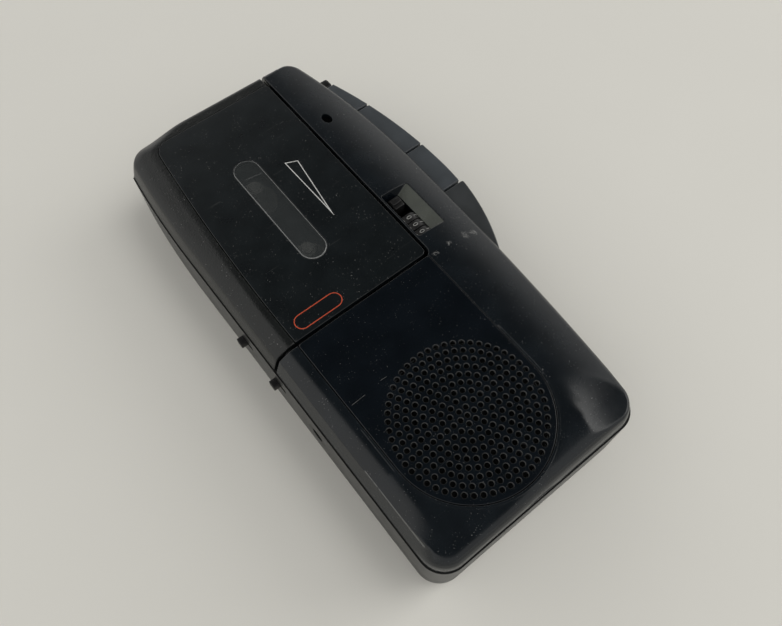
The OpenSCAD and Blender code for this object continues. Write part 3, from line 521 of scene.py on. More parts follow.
def shoulder(x, y):
    depth = inset(x, y)
    top_side = smooth(45, 57, y) * smooth(-24, -12, x)
    right_side = smooth(10, 20, x) * smooth(-58, -46, y)
    low_left = (1 - smooth(-58, -50, y)) * (1 - smooth(-14, 4, x))
    crisp = 1 - (1 - top_side) * (1 - right_side) * (1 - low_left)
    draft = np.where((y < SEAM_Y) & (x < -15), smooth(-58, -51, y), 0)
    low_side = 1 - smooth(-56, -47, y)
    z = soft_shoulder(depth) * (1 - low_side) + round_shoulder(depth) * low_side
    z = z * (1 - crisp) + crisp_shoulder(depth) * crisp
    return z * (1 - draft) + draft_shoulder(depth) * draft, 0.5 - 0.15 * crisp - 0.38 * draft


def height(x, y):
    side, blend = shoulder(x, y)
    inner = bevel_x(y)
    outer = np.where(y > BOW_Y, LEFT + (y - BOW_Y) ** 2 / (2 * BOW_R), LEFT) + BEVEL_OUT
    t = (inner - x) / (inner - outer)
    turning = np.where(t > 0, CONVEX_TURN * t * t, 0)
    convex = (CONVEX_FALL * t + turning) * smooth(*CONVEX_Y, y)
    bevel = FACE - np.where(y < SEAM_Y, convex, BEVEL_DROP * t)
    crown = FACE - CROWN_R + np.sqrt(CROWN_R ** 2 - np.clip(x - CROWN_X, 0, 30) ** 2)
    across = (x - FACET_AT[0]) * FACET_TO[0] + (y - FACET_AT[1]) * FACET_TO[1]
    fall = FACET_FALL * (1 - smooth(*FACET_Y, y)) * FACET_REACH
    facet = FACE - FACET_DROP - fall * (1 - np.exp(-across / FACET_REACH))
    face = soft_min(soft_min(crown, np.full_like(x, FACE), 0.05), bevel, 0.12)
    face = soft_min(face, facet, 0.2) - smooth(10, 16, x) * round_off(inset(x, y) - RIM_IN, RIGHT_ROUND)
    return soft_min(face, side, blend)


print("height at the speaker", round(float(height(*np.array([[SPEAKER[0]], [SPEAKER[1]]]))[0]), 3))

# %% [markdown]
# ## From outline to solid
# A moulded plate is a flat region with a top and a bottom height. The region is cut into triangles
# by Delaunay with guide lines, so that rows of points follow every rounded edge, and the two skins
# are joined by a wall along the rim. The slope of the height gives each corner its own normal, so a
# highlight runs smoothly over uneven triangles. The distance to the edge is stored for the finish.

# %% Solid
def solid(name, verts, faces, finish, edge=None, normals=None, angle=None, turn_out=False):
    mesh = bpy.data.meshes.new(name)
    mesh.from_pydata((np.asarray(verts) * MM).tolist(), [], [list(map(int, f)) for f in faces])
    if turn_out:
        work = bmesh.new()
        work.from_mesh(mesh)
        bmesh.ops.recalc_face_normals(work, faces=work.faces)
        work.to_mesh(mesh)
        work.free()
    mesh.materials.append(finish)
    mesh.polygons.foreach_set("use_smooth", [True] * len(mesh.polygons))
    if edge is not None:
        mesh.attributes.new("edge", "FLOAT", "POINT").data.foreach_set("value", np.asarray(edge, float))
    mesh.validate()
    if angle:
        mesh.set_sharp_from_angle(angle=math.radians(angle))
    if normals is not None and len(normals) == len(mesh.loops):
        mesh.normals_split_custom_set(normals.tolist())
    return shown(name, mesh)


def wears(piece, body, *nodes, slot=None):
    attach(piece, body)
    if nodes:
        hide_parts(*nodes)
    return piece


print("solid builder ready")

# %% Triangles between guide lines
def clipped(line, keep):
    value = keep(line[:, 0], line[:, 1])
    runs, run = [], []
    for a, b, va, vb in zip(line[:-1], line[1:], value[:-1], value[1:]):
        if va >= 0:
            run.append(a)
        if (va >= 0) != (vb >= 0):
            run.append(a + (b - a) * (va / (va - vb)))
            if va >= 0:
                runs.append(run)
                run = []
    if run and value[-1] >= 0:
        run.append(line[-1])
    if len(run) > 1:
        runs.append(run)
    return [np.array(r) for r in runs if len(r) > 1]


def triangles(lines, keep, grid):
    points, edges = [], []
    for line in lines:
        for run in clipped(line, lambda x, y: keep(x, y) + 1e-4):
            first = len(points)
            points.extend(run)
            edges.extend((first + i, first + i + 1) for i in range(len(run) - 1))
    low, high = np.min(points, axis=0), np.max(points, axis=0)
    across, up = np.arange(low[0], high[0], grid), np.arange(low[1], high[1], grid)
    fill = np.stack(np.meshgrid(across, up), -1).reshape(-1, 2)
    points.extend(fill[keep(fill[:, 0], fill[:, 1]) > grid * 0.4])
    made = delaunay_2d_cdt([Vector(p) for p in points], edges, [], 0, 1e-4)
    flat = np.array([v[:] for v in made[0]])
    faces = np.array(made[2])
    middle = flat[faces].mean(axis=1)
    a, b, c = flat[faces[:, 0]], flat[faces[:, 1]], flat[faces[:, 2]]
    area = (b[:, 0] - a[:, 0]) * (c[:, 1] - a[:, 1]) - (b[:, 1] - a[:, 1]) * (c[:, 0] - a[:, 0])
    faces = faces[(keep(middle[:, 0], middle[:, 1]) > 0) & (np.abs(area) > 1e-9)]
    used = np.unique(faces)
    renumber = np.zeros(len(flat), int)
    renumber[used] = np.arange(len(used))
    return flat[used], renumber[faces]


# Unit normals of a height, up for a top skin and down for a bottom skin
def slopes(level, x, y, sign, reach=0.01):
    dx = (level(x + reach, y) - level(x - reach, y)) / (2 * reach)
    dy = (level(x, y + reach) - level(x, y - reach)) / (2 * reach)
    normal = np.column_stack([-dx, -dy, np.ones_like(dx)]) * sign
    return normal / np.linalg.norm(normal, axis=1)[:, None]


def plate(name, lines, keep, top, bottom, finish, grid=1.6):
    flat, faces = triangles(lines, keep, grid)
    x, y = flat[:, 0], flat[:, 1]
    count = len(flat)
    verts = np.concatenate([np.column_stack([x, y, top(x, y)]), np.column_stack([x, y, bottom(x, y)])])
    around = {(int(f[i]), int(f[(i + 1) % 3])) for f in faces for i in range(3)}
    rim = np.array(sorted((a, b) for a, b in around if (b, a) not in around))
    walls = np.column_stack([rim[:, 1], rim[:, 0], rim[:, 0] + count, rim[:, 1] + count])
    across = flat[rim[:, 1]] - flat[rim[:, 0]]
    outward = np.column_stack([across[:, 1], -across[:, 0], np.zeros(len(rim))])
    outward /= np.linalg.norm(outward, axis=1)[:, None]
    under = faces[:, ::-1]
    normals = np.concatenate([
        slopes(top, x, y, 1)[faces.ravel()], slopes(bottom, x, y, -1)[under.ravel()],
        np.repeat(outward, 4, axis=0)])
    skins = [*faces, *(under + count), *walls]
    edge = np.concatenate([keep(x, y), keep(x, y) + 1])
    made = solid(name, verts, skins, finish, edge, normals)
    print(name, 2 * len(faces) + 2 * len(walls), "triangles")
    return made


print("plate builder ready")

# %% [markdown]
# ## Seams, panels and openings
# The seam round the door is one curve: a straight line up the right, a small round corner, and a
# straight line across. The two inlaid panels run right up to it. Each region is written as an inside
# distance, because the same function then cuts the opening, rounds its edge and places guide lines.

# %% Regions of the front
def seam_inside(x, y):
    return rounded(SEAM_X - x, y - SEAM_Y, SEAM_R)


def seam_curve(out):
    r = max(SEAM_R + out, 0.02)
    turn = np.radians(np.linspace(0, -90, 9))
    arc = np.stack([SEAM_X - SEAM_R + r * np.cos(turn), SEAM_Y + SEAM_R + r * np.sin(turn)], 1)
    up = even([(SEAM_X + out, 70), arc[0]], 0.7)
    across = even([arc[-1], (-40, SEAM_Y - out)], 0.7)
    return np.concatenate([up, arc[1:-1], across])


PANEL_LEFT, PANEL_TOP, PANEL_MIDDLE = -24.1, 55.1, -8
PANEL_BOW_R, PANEL_BOW_Y = 540, -0.4
PANEL_CORNER_LEFT, PANEL_CORNER_RIGHT = 3.2, 0.6


def panel_inside(x, y):
    bow = PANEL_BOW_R - np.hypot(x - (PANEL_LEFT + PANEL_BOW_R), y - PANEL_BOW_Y)
    corner = np.where(x < PANEL_MIDDLE, PANEL_CORNER_LEFT, PANEL_CORNER_RIGHT)
    sides = np.minimum(bow, SEAM_X - SEAM_HALF - x)
    return np.minimum(rounded(sides, PANEL_TOP - y, corner), seam_inside(x, y) - SEAM_HALF)


def grille_inside(x, y):
    sides = np.minimum(x - SPEAKER[0], SPEAKER[0] - x) + PANEL_R
    straight = rounded(sides, SEAM_Y - SEAM_HALF - y, 0.4)
    return np.where(y > SPEAKER[1], straight, PANEL_R - np.hypot(x - SPEAKER[0], y - SPEAKER[1]))


def oval_inside(centre, wide, tall):
    return lambda x, y: wide / 2 - np.hypot(x - centre[0], (y - centre[1]) * wide / tall)


def box_inside(bx, by, r):
    return lambda x, y: rounded(
        np.minimum(x - bx[0], bx[1] - x), np.minimum(y - by[0], by[1] - y), r)


def stadium_inside(centre, half, reach, along=1):
    def inside(x, y):
        u, w = (y - centre[1], x - centre[0]) if along else (x - centre[0], y - centre[1])
        return half - np.hypot(w, np.maximum(np.abs(u) - reach, 0))
    return inside


def flat_at(z):
    return lambda x, y: np.full_like(x, z)


print("face panel", round(PANEL_TOP - SEAM_Y, 1), "mm tall")

# %% [markdown]
# ## Front shell
# The front shell carries the speaker panel, the counter's opening and the microphone's oval hole.
# Round the lower half of the speaker panel it rises in a low lip, because the shell already falls
# away there while the panel stays flat. Rows of guide lines follow the rim, the seam and the bevel.

# %% Front shell
MIC, MIC_WIDE, MIC_TALL = (15.95, 37.4), 2.4, 3.3
mic_inside = oval_inside(MIC, MIC_WIDE, MIC_TALL)
COUNTER_X, COUNTER_Y = (11.75, 19.25), (-2.7, 10.8)
counter_inside = box_inside(COUNTER_X, COUNTER_Y, 0.5)
RIM_ROWS = (
    0.3, 0.34, 0.4, 0.47, 0.55, 0.68, 0.8, 0.95, 1.15, 1.3, 1.45, 1.5, 1.55, 1.65, 1.75, 1.85,
    1.95, 2.05, 2.2, 2.45, 2.7, 3.0, 3.4, 3.8, 4.2, 4.7, 5.4)
EDGE_ROWS = (0.0, 0.03, 0.08, 0.15, 0.24, 0.36, 0.55)
LIP_ROWS = (0.45, 0.55, 0.65, 0.78, 0.92, 1.1, 1.35)
BEVEL_ROWS = (-0.25, -0.1, 0.05, 0.25)
GROOVE, WALL = 0.14, 1.5
LIP_WIDE, LIP_SLOPE, LIP_BELOW = 0.6, 1.4, -30
SEAM_ROUND, GROOVE_ROUND, MIC_ROUND, WELL_ROUND = 0.28, 0.16, 0.06, 0.18
SHADE_FELT_TOP, SHADE_FELT_FOOT, SHADE_FELT_GAP = 22.2, 21.9, 0.02
outline_middle, panel_middle, grille_middle = (-2, 0), (-7, 24), (SPEAKER[0], -30)


def front_keep(x, y):
    keep = np.minimum(inset(x, y) - RIM_IN, -seam_inside(x, y) - SEAM_HALF)
    keep = np.minimum(keep, -grille_inside(x, y) - GROOVE)
    return np.minimum(np.minimum(keep, -mic_inside(x, y)), -counter_inside(x, y))


def front_top(x, y):
    away = -grille_inside(x, y)
    lip = FACE - LIP_SLOPE * np.maximum(away - LIP_WIDE, 0)
    z = np.where(y < LIP_BELOW, -soft_min(-height(x, y), -lip, 0.15), height(x, y))
    z = z - round_off(-seam_inside(x, y) - SEAM_HALF, SEAM_ROUND)
    z = z - round_off(away - GROOVE, GROOVE_ROUND)
    return z - round_off(-mic_inside(x, y), MIC_ROUND) - round_off(-counter_inside(x, y), WELL_ROUND)


def shell_bottom(x, y):
    return np.where(inset(x, y) < WALL + 0.02, SPLIT, np.maximum(height(x, y) - WALL, SPLIT))


bevel_y = np.arange(-61, 61, 0.8)
rim_lines = [ring(inset, outline_middle, d) for d in RIM_ROWS]
rim_lines += [np.stack([bevel_x(bevel_y) + out, bevel_y], 1) for out in BEVEL_ROWS]
front_lines = rim_lines + [seam_curve(SEAM_HALF + e) for e in EDGE_ROWS]
front_lines += [ring(grille_inside, grille_middle, -GROOVE - e, 0.6) for e in EDGE_ROWS[:4] + LIP_ROWS]
front_lines += [ring(mic_inside, MIC, -e, 0.25) for e in EDGE_ROWS[:5]]
front_lines += [ring(counter_inside, (15.5, 4), -e, 0.4) for e in EDGE_ROWS[:5]]
front = plate("front_moulding", front_lines, front_keep, front_top, shell_bottom, case_black)
wears(front, "case", "front_shell")
# A felt sheet under the microphone hole, painted near black to stand for the shade in the hole
shade_felt_lines = [ring(mic_inside, MIC, e, 0.25) for e in (SHADE_FELT_GAP, 0.3)]
shade_felt = plate(
    "microphone_felt", shade_felt_lines, lambda x, y: mic_inside(x, y) - SHADE_FELT_GAP, flat_at(SHADE_FELT_TOP),
    flat_at(SHADE_FELT_FOOT), felt_shade_black, 0.5)
wears(shade_felt, "case", slot="black_rubber")

# %% [markdown]
# ## Door
# The door is the same surface on the other side of the seam. Its end wall is notched for the two
# ears of the rear shell, and three knuckles on the hinge line run between them.

# %% Door
EAR_AT, EAR_HALF, EAR_TOP, EAR_FROM = (-22.0, 4.0), 1.75, 21.55, 54.4
NOTCH_FROM, NOTCH_GAP = 54, 0.05


def ear_gap(x):
    return np.minimum(np.abs(x - EAR_AT[0]), np.abs(x - EAR_AT[1])) - EAR_HALF


def door_keep(x, y):
    keep = np.minimum(inset(x, y) - RIM_IN, seam_inside(x, y) - SEAM_HALF)
    notch = np.where(y > NOTCH_FROM, np.maximum(height(x, y) - EAR_TOP - NOTCH_GAP, ear_gap(x)), 9)
    return np.minimum(np.minimum(keep, -panel_inside(x, y) - GROOVE), notch)


def door_top(x, y):
    z = height(x, y) - round_off(seam_inside(x, y) - SEAM_HALF, SEAM_ROUND)
    return z - round_off(-panel_inside(x, y) - GROOVE, GROOVE_ROUND)


def door_bottom(x, y):
    notched = (ear_gap(x) < 0) & (y > EAR_FROM)
    return np.where(notched, np.maximum(shell_bottom(x, y), EAR_TOP), shell_bottom(x, y))


door_lines = rim_lines + [seam_curve(-SEAM_HALF - e) for e in EDGE_ROWS]
door_lines += [ring(panel_inside, panel_middle, -GROOVE - e, 0.6) for e in EDGE_ROWS[:5]]
for ear in EAR_AT:
    door_lines += [even([(ear + side, 53), (ear + side, 61)], 0.3) for side in (-EAR_HALF, EAR_HALF)]
door = plate("door_moulding", door_lines, door_keep, door_top, door_bottom, door_black)
wears(door, "door", "cassette_door")

# %% [markdown]
# ## Turned, lofted and block pieces
# A loft joins rows of points with quads. A turned piece is a loft whose rows are circles, and a loft
# that returns to its first row is a closed ring with no poles. Knobs are blocks with bevelled edges.

# %% Loft, turn and block
def loft(name, rows, finish, angle=35):
    count = len(rows[0])
    faces = []
    for r in range(len(rows)):
        a, b = r * count, (r + 1) % len(rows) * count
        faces += [(a + i, a + (i + 1) % count, b + (i + 1) % count, b + i) for i in range(count)]
    return solid(name, np.concatenate(rows), faces, finish, angle=angle, turn_out=True)


# A closed profile of (along, radius) turned round the X or Y axis through a centre
def turned_rows(profile, axis, centre, steps=64):
    turn = np.linspace(0, 2 * np.pi, steps, endpoint=False)
    rows = []
    for along, r in profile:
        flat = np.full(steps, float(along))
        if axis == "x":
            row = (flat, r * np.cos(turn), r * np.sin(turn))
        else:
            row = (r * np.sin(turn), flat, r * np.cos(turn))
        rows.append(np.column_stack(row) + np.asarray(centre))
    return rows


# Turn an edited mesh into a smooth piece, sharp where faces meet at more than an angle
def smooth_piece(name, work, finish, angle):
    mesh = bpy.data.meshes.new(name)
    work.to_mesh(mesh)
    work.free()
    mesh.materials.append(finish)
    mesh.polygons.foreach_set("use_smooth", [True] * len(mesh.polygons))
    mesh.set_sharp_from_angle(angle=math.radians(angle))
    return shown(name, mesh)


def blocks(name, boxes, r, finish, segments=3):
    work = bmesh.new()
    for low, high in boxes:
        low, high = np.array(low) * MM, np.array(high) * MM
        size = Matrix.Diagonal((*(high - low), 1))
        bmesh.ops.create_cube(work, size=1, matrix=Matrix.Translation((low + high) / 2) @ size)
    bmesh.ops.bevel(
        work, geom=work.edges[:], offset=r * MM, segments=segments, profile=0.5, affect="EDGES",
        clamp_overlap=True)
    return smooth_piece(name, work, finish, 40)


HINGE, KNUCKLE_R, KNUCKLE_SOFT, PIN_R = (0, 57.4, 19.7), 1.3, 0.15, 0.78
knuckle_spans = ((-25.2, -23.8), (-20.2, 2.2), (5.8, 8.0))
for i, (start, end) in enumerate(knuckle_spans):
    profile = [
        (start, PIN_R), (start, KNUCKLE_R - KNUCKLE_SOFT), (start + KNUCKLE_SOFT, KNUCKLE_R),
        (end - KNUCKLE_SOFT, KNUCKLE_R), (end, KNUCKLE_R - KNUCKLE_SOFT), (end, PIN_R)]
    knuckle = loft(f"door_knuckle_{i + 1}", turned_rows(profile, "x", HINGE, 32), back_black)
    wears(knuckle, "door", slot="case_dark")
print("knuckles:", len(knuckle_spans))

# %% [markdown]
# ## The inlaid face panels
# Two thin panels lie in the front. The upper one carries the smoked window, whose bright hairline
# rim is a painted highlight, and two printed outlines: a narrow wedge for the tape that is left and
# an empty pill. The print is a thin solid let into the panel, because a printed line has an edge that
# a texture would blur.

# %% Door panel and window
window_low, window_high = box_mm("door_window")
WINDOW = (window_low + window_high)[:2] / 2
PANE_HALF = (window_high - window_low)[0] / 2 - 0.02
PANE_REACH = (window_high - window_low)[1] / 2 - (window_high - window_low)[0] / 2
pane_inside = stadium_inside(WINDOW, PANE_HALF, PANE_REACH)
WINDOW_GAP, PANEL_BACK = 0.07, 22.6
PANEL_ROUND, OPENING_ROUND, PANE_PROUD, PANE_ROUND = 0.15, 0.12, 0.06, 0.3
PANE_ROWS = (0.0, 0.03, 0.08, 0.15, 0.22, 0.3, 0.4, 0.9)
PRINT_HIGH, PRINT_DEEP, STROKE = 0.012, 0.1, 0.21


def panel_keep(x, y):
    return np.minimum(panel_inside(x, y), -pane_inside(x, y) - WINDOW_GAP)


def panel_top(x, y):
    opening = round_off(-pane_inside(x, y) - WINDOW_GAP, OPENING_ROUND)
    return FACE - round_off(panel_inside(x, y), PANEL_ROUND) - opening


def pane_top(x, y):
    return FACE + PANE_PROUD - round_off(pane_inside(x, y), PANE_ROUND)


panel_lines = [ring(panel_inside, panel_middle, e, 0.8) for e in EDGE_ROWS[:4]]
panel_lines += [ring(pane_inside, WINDOW, -WINDOW_GAP - e, 0.4) for e in EDGE_ROWS[:4]]
panel_foot = flat_at(PANEL_BACK)
face_panel = plate("door_face_panel", panel_lines, panel_keep, panel_top, panel_foot, panel_satin, 4.0)
wears(face_panel, "door", "door_panel")
pane_lines = [ring(pane_inside, WINDOW, e, 0.4) for e in PANE_ROWS]
pane = plate("window_pane", pane_lines, pane_inside, pane_top, panel_foot, window_smoke, 2.0)
wears(pane, "door", "door_window")

# %% Printed outlines
wedge_corners = np.array([(0.05, 32.15), (2.95, 30.85), (0.45, 13.0)])


def wedge_inside(x, y):
    gap = np.full_like(x, 99.0)
    for a, b in zip(wedge_corners, np.roll(wedge_corners, -1, axis=0)):
        along = (b - a) / np.hypot(*(b - a))
        gap = np.minimum(gap, (y - a[1]) * -along[0] + (x - a[0]) * along[1])
    return gap


def outline_print(name, inside, middle, finish):
    lines = [ring(inside, middle, level, 0.25, 2880) for level in (0.0, STROKE)]
    mark = plate(
        name, lines, lambda x, y: np.minimum(inside(x, y), STROKE - inside(x, y)),
        flat_at(FACE + PRINT_HIGH), flat_at(FACE - PRINT_DEEP), finish, 9.0)
    return wears(mark, "door", slot="panel_dark")


outline_print("tape_wedge_print", wedge_inside, (1.1, 28.5), white_ink)
PILL, PILL_HALF, PILL_REACH = (-16.2, -4.0), 1.8, 4.0
outline_print("pill_print", stadium_inside(PILL, PILL_HALF, PILL_REACH, 0), PILL, orange_ink)

# %% [markdown]
# ## Perforated speaker panel
# The holes stand in nine rings of six, twelve, eighteen and so on. The panel is cut with the same
# rule in Python. The rim of each hole is a small countersink and a sleeve, and there are hundreds of
# them, so a Geometry Nodes tree works the ring and the angle out of each point's index and puts one
# few-sided rim there. The countersink catches a thin ring of light, and the rims' lighter grey paints
# that ring brighter as a highlight.

# %% Geometry maker
class Maker(Tree):
    def __init__(self, name, **inputs):
        super().__init__(bpy.data.node_groups.new(name, "GeometryNodeTree"))
        self.values = inputs
        for key, value in inputs.items():
            kind = "NodeSocketInt" if isinstance(value, int) else "NodeSocketFloat"
            self.tree.interface.new_socket(key, in_out="INPUT", socket_type=kind)
        self.tree.interface.new_socket("Geometry", in_out="OUTPUT", socket_type="NodeSocketGeometry")
        self.entry = self.tree.nodes.new("NodeGroupInput")
        self.exit = self.tree.nodes.new("NodeGroupOutput")

    def given(self, name):
        return Wire(self, self.entry.outputs[name])

    def join(self, *parts):
        joined = self.tree.nodes.new("GeometryNodeJoinGeometry")
        for part in parts:
            self.tree.links.new(part.socket, joined.inputs[0])
        return Wire(self, joined.outputs[0])

    # Realize the instances, give them a finish and turn the result into a plain mesh object
    def piece(self, name, geometry, finish):
        real = self.node("GeometryNodeRealizeInstances", {}, {0: geometry})
        dressed = self.node("GeometryNodeSetMaterial", {}, {"Geometry": real, "Material": finish})
        self.tree.links.new(dressed.socket, self.exit.inputs[0])
        holder = shown(name + "_holder", bpy.data.meshes.new(name + "_holder"))
        modifier = holder.modifiers.new("maker", "NODES")
        modifier.node_group = self.tree
        for item in self.tree.interface.items_tree:
            if item.in_out == "INPUT":
                modifier[item.identifier] = self.values[item.name]
        graph = bpy.context.evaluated_depsgraph_get()
        mesh = bpy.data.meshes.new_from_object(holder.evaluated_get(graph))
        mesh.name = name
        bpy.data.objects.remove(holder)
        print(name, len(mesh.polygons), "faces")
        return shown(name, mesh)


print("geometry maker ready")

# %% Speaker panel
RINGS, RING_STEP = 9, 1.706
RIM_R, HOLE_R, SINK, RIM_SIDES = 0.68, 0.55, 0.14, 14
GRILLE_BACK = 22.9
holes = [SPEAKER]
for ring_number in range(1, RINGS + 1):
    for i in range(6 * ring_number):
        turn = math.radians(i * 60 / ring_number)
        reach = ring_number * RING_STEP
        holes.append((SPEAKER[0] + reach * math.cos(turn), SPEAKER[1] + reach * math.sin(turn)))


def hole_gap(x, y):
    gap = np.full(len(x), 99.0)
    for hx, hy in holes:
        gap = np.minimum(gap, np.hypot(x - hx, y - hy))
    return gap - RIM_R * math.cos(math.pi / RIM_SIDES)


def grille_keep(x, y):
    return np.minimum(grille_inside(x, y), hole_gap(x, y))


def grille_top(x, y):
    return FACE - round_off(grille_inside(x, y), PANEL_ROUND)


around_hole = np.linspace(0, 2 * np.pi, RIM_SIDES + 1)
rim_circle = np.stack([np.cos(around_hole), np.sin(around_hole)], 1) * (RIM_R + 1e-4)
grille_lines = [ring(grille_inside, grille_middle, e, 0.7) for e in EDGE_ROWS[:4]]
grille_lines += [rim_circle + hole for hole in holes]
grille_foot = flat_at(GRILLE_BACK)
grille = plate("speaker_panel", grille_lines, grille_keep, grille_top, grille_foot, grille_gloss, 3.0)
wears(grille, "case", "grille_plate")

# %% Perforation rims
rims = Maker(
    "perforation_rims", Rings=RINGS, Step=RING_STEP * MM, Rim=RIM_R * MM, Bore=HOLE_R * MM,
    Sink=SINK * MM, Depth=(FACE - GRILLE_BACK) * MM)
index = rims.node("GeometryNodeInputIndex")
whole = rims.given("Rings")
ring_of = index.maths("CEIL", (index.maths("SQRT", 12 * index + 9) - 3) / 6 - 0.001)
first = 3 * ring_of * (ring_of - 1) + 1
angle = (index - first) * (math.pi / 3) / index.maths("MAXIMUM", ring_of, 1.0)
reach = ring_of * rims.given("Step")
spot = rims.node("ShaderNodeCombineXYZ", {}, {
    0: SPEAKER[0] * MM + reach * index.maths("COSINE", angle),
    1: SPEAKER[1] * MM + reach * index.maths("SINE", angle), 2: float(FACE) * MM})
points = rims.node("GeometryNodePoints", {}, {"Count": 3 * whole * (whole + 1) + 1, "Position": spot})


def open_cone(top, bottom, depth, drop):
    cone = rims.node("GeometryNodeMeshCone", {"fill_type": "NONE"}, {
        "Vertices": RIM_SIDES, "Radius Top": top, "Radius Bottom": bottom, "Depth": depth})
    low = rims.node("ShaderNodeCombineXYZ", {}, {2: drop})
    return rims.node("GeometryNodeTransform", {}, {"Geometry": cone, "Translation": low})


sink = open_cone(rims.given("Rim"), rims.given("Bore"), rims.given("Sink"), 0 - rims.given("Sink"))
sleeve_deep = rims.given("Depth") - rims.given("Sink")
sleeve = open_cone(rims.given("Bore"), rims.given("Bore"), sleeve_deep, 0 - rims.given("Depth"))
rim = rims.node("GeometryNodeFlipFaces", {}, {0: rims.join(sink, sleeve)})
placed = rims.node("GeometryNodeInstanceOnPoints", {}, {"Points": points, "Instance": rim})
wears(rims.piece("perforation_rims", placed, rim_highlight_grey), "case", slot="grille_dark")

# %% [markdown]
# ## Tape counter
# The counter sits in a well. Its right side is a wide textured ramp for the thumb, in a lighter grey
# that is a painted sheen, and the other sides are steep. The bezel is lofted through round-cornered
# loops, from the rim down to the window and back up on the outside. The digits are text made into a
# mesh and wrapped round each drum.

# %% Counter well
def corner_loop(bx, by, r, level, side=12, turn=5):
    corners = (
        (bx[1] - r, by[1] - r, 0), (bx[0] + r, by[1] - r, 90),
        (bx[0] + r, by[0] + r, 180), (bx[1] - r, by[0] + r, 270))
    arcs = []
    for cx, cy, start in corners:
        a = np.radians(np.linspace(start, start + 90, turn))
        arcs.append(np.stack([cx + r * np.cos(a), cy + r * np.sin(a)], 1))
    loop = []
    for arc, follow in zip(arcs, arcs[1:] + arcs[:1]):
        straight = np.linspace(arc[-1], follow[0], side + 2)[1:-1]
        loop += [arc, straight]
    loop = np.concatenate(loop)
    z = level(loop[:, 0], loop[:, 1]) if callable(level) else np.full(len(loop), level)
    return np.column_stack([loop, z])


WELL_X, WELL_Y, WELL_Z, WELL_FOOT = (11.95, 16.1), (-2.35, 10.0), 21.6, 20.6
WELL_GAP, WELL_CORNER, RIM_CORNER = 0.02, 0.25, 0.48
rim_x, rim_y = ((low + WELL_GAP, high - WELL_GAP) for low, high in (COUNTER_X, COUNTER_Y))
well_rows = [
    corner_loop(rim_x, rim_y, RIM_CORNER, lambda x, y: height(x, y) - WELL_ROUND),
    corner_loop(WELL_X, WELL_Y, WELL_CORNER, WELL_Z),
    corner_loop(WELL_X, WELL_Y, WELL_CORNER, WELL_FOOT),
    corner_loop(rim_x, rim_y, RIM_CORNER, WELL_FOOT),
]
well = loft("counter_well", well_rows, grille_gloss, 20)
well.data.materials.append(ramp_sheen_grey)
# Faces turned up and to the left get the lighter ramp finish, a painted sheen
for face in well.data.polygons:
    on_ramp = face.center.x > WELL_X[1] * MM and face.normal.z > 0.5 and face.normal.x < -0.15
    face.material_index = 1 if on_ramp else 0
wears(well, "case", slot="case_dark")
print("ramp faces", sum(face.material_index for face in well.data.polygons))

# %% Drums and digits
DIGIT_HIGH, DIGIT_PROUD, DIGIT_EDGE = 1.8, 0.012, 0.3
DRUM_BORE, DRUM_SOFT, DRUM_SIDE = 0.6, 0.15, 0.12


# One digit as flat points and triangles, cut finely enough to bend
def digit_shape(sign):
    curve = bpy.data.curves.new("digit", "FONT")
    curve.body = sign
    curve.size = DIGIT_HIGH
    curve.align_x = "CENTER"
    curve.align_y = "CENTER"
    holder = shown("digit", curve)
    graph = bpy.context.evaluated_depsgraph_get()
    mesh = bpy.data.meshes.new_from_object(holder.evaluated_get(graph))
    bpy.data.objects.remove(holder)
    work = bmesh.new()
    work.from_mesh(mesh)
    bmesh.ops.remove_doubles(work, verts=work.verts, dist=1e-5)
    bmesh.ops.triangulate(work, faces=work.faces)
    long_edges = [e for e in work.edges if e.calc_length() > DIGIT_EDGE]
    bmesh.ops.subdivide_edges(work, edges=long_edges, cuts=3, use_grid_fill=True)
    bmesh.ops.triangulate(work, faces=work.faces)
    points = np.array([v.co[:2] for v in work.verts])
    faces = np.array([[v.index for v in f.verts] for f in work.faces])
    work.free()
    return points, faces


digits = [digit_shape(str(i)) for i in range(10)]
for body in ("units", "tens", "hundreds"):
    node = "counter_" + body
    low, high = box_mm(node)
    middle, half, r = (low + high) / 2, (high - low)[1] / 2, (high - low)[2] / 2
    profile = [
        (-half, DRUM_BORE), (-half, r - DRUM_SOFT), (DRUM_SIDE - half, r), (half - DRUM_SIDE, r),
        (half, r - DRUM_SOFT), (half, DRUM_BORE)]
    drum = loft(node + "_drum", turned_rows(profile, "y", middle), drum_black)
    wears(drum, body, node, slot="black_plastic")
    verts, faces = [], []
    for i, (points, tris) in enumerate(digits):
        bent = points[:, 1] / r + math.radians(36 * i)
        reach = r + DIGIT_PROUD
        faces.append(tris + sum(len(v) for v in verts))
        verts.append(np.column_stack([reach * np.sin(bent), -points[:, 0], reach * np.cos(bent)]) + middle)
    print_piece = solid(node + "_digits", np.concatenate(verts), np.concatenate(faces), digit_ink)
    wears(print_piece, body, slot="pale_plastic")
print("drums with digits: 3")

# %% [markdown]
# ## Small knobs
# The reset button, the pause knob and the two side switches are small blocks with rounded edges. A
# thumb rib on each is a second block of the same mesh, since a rib moulded on a knob overlaps it.

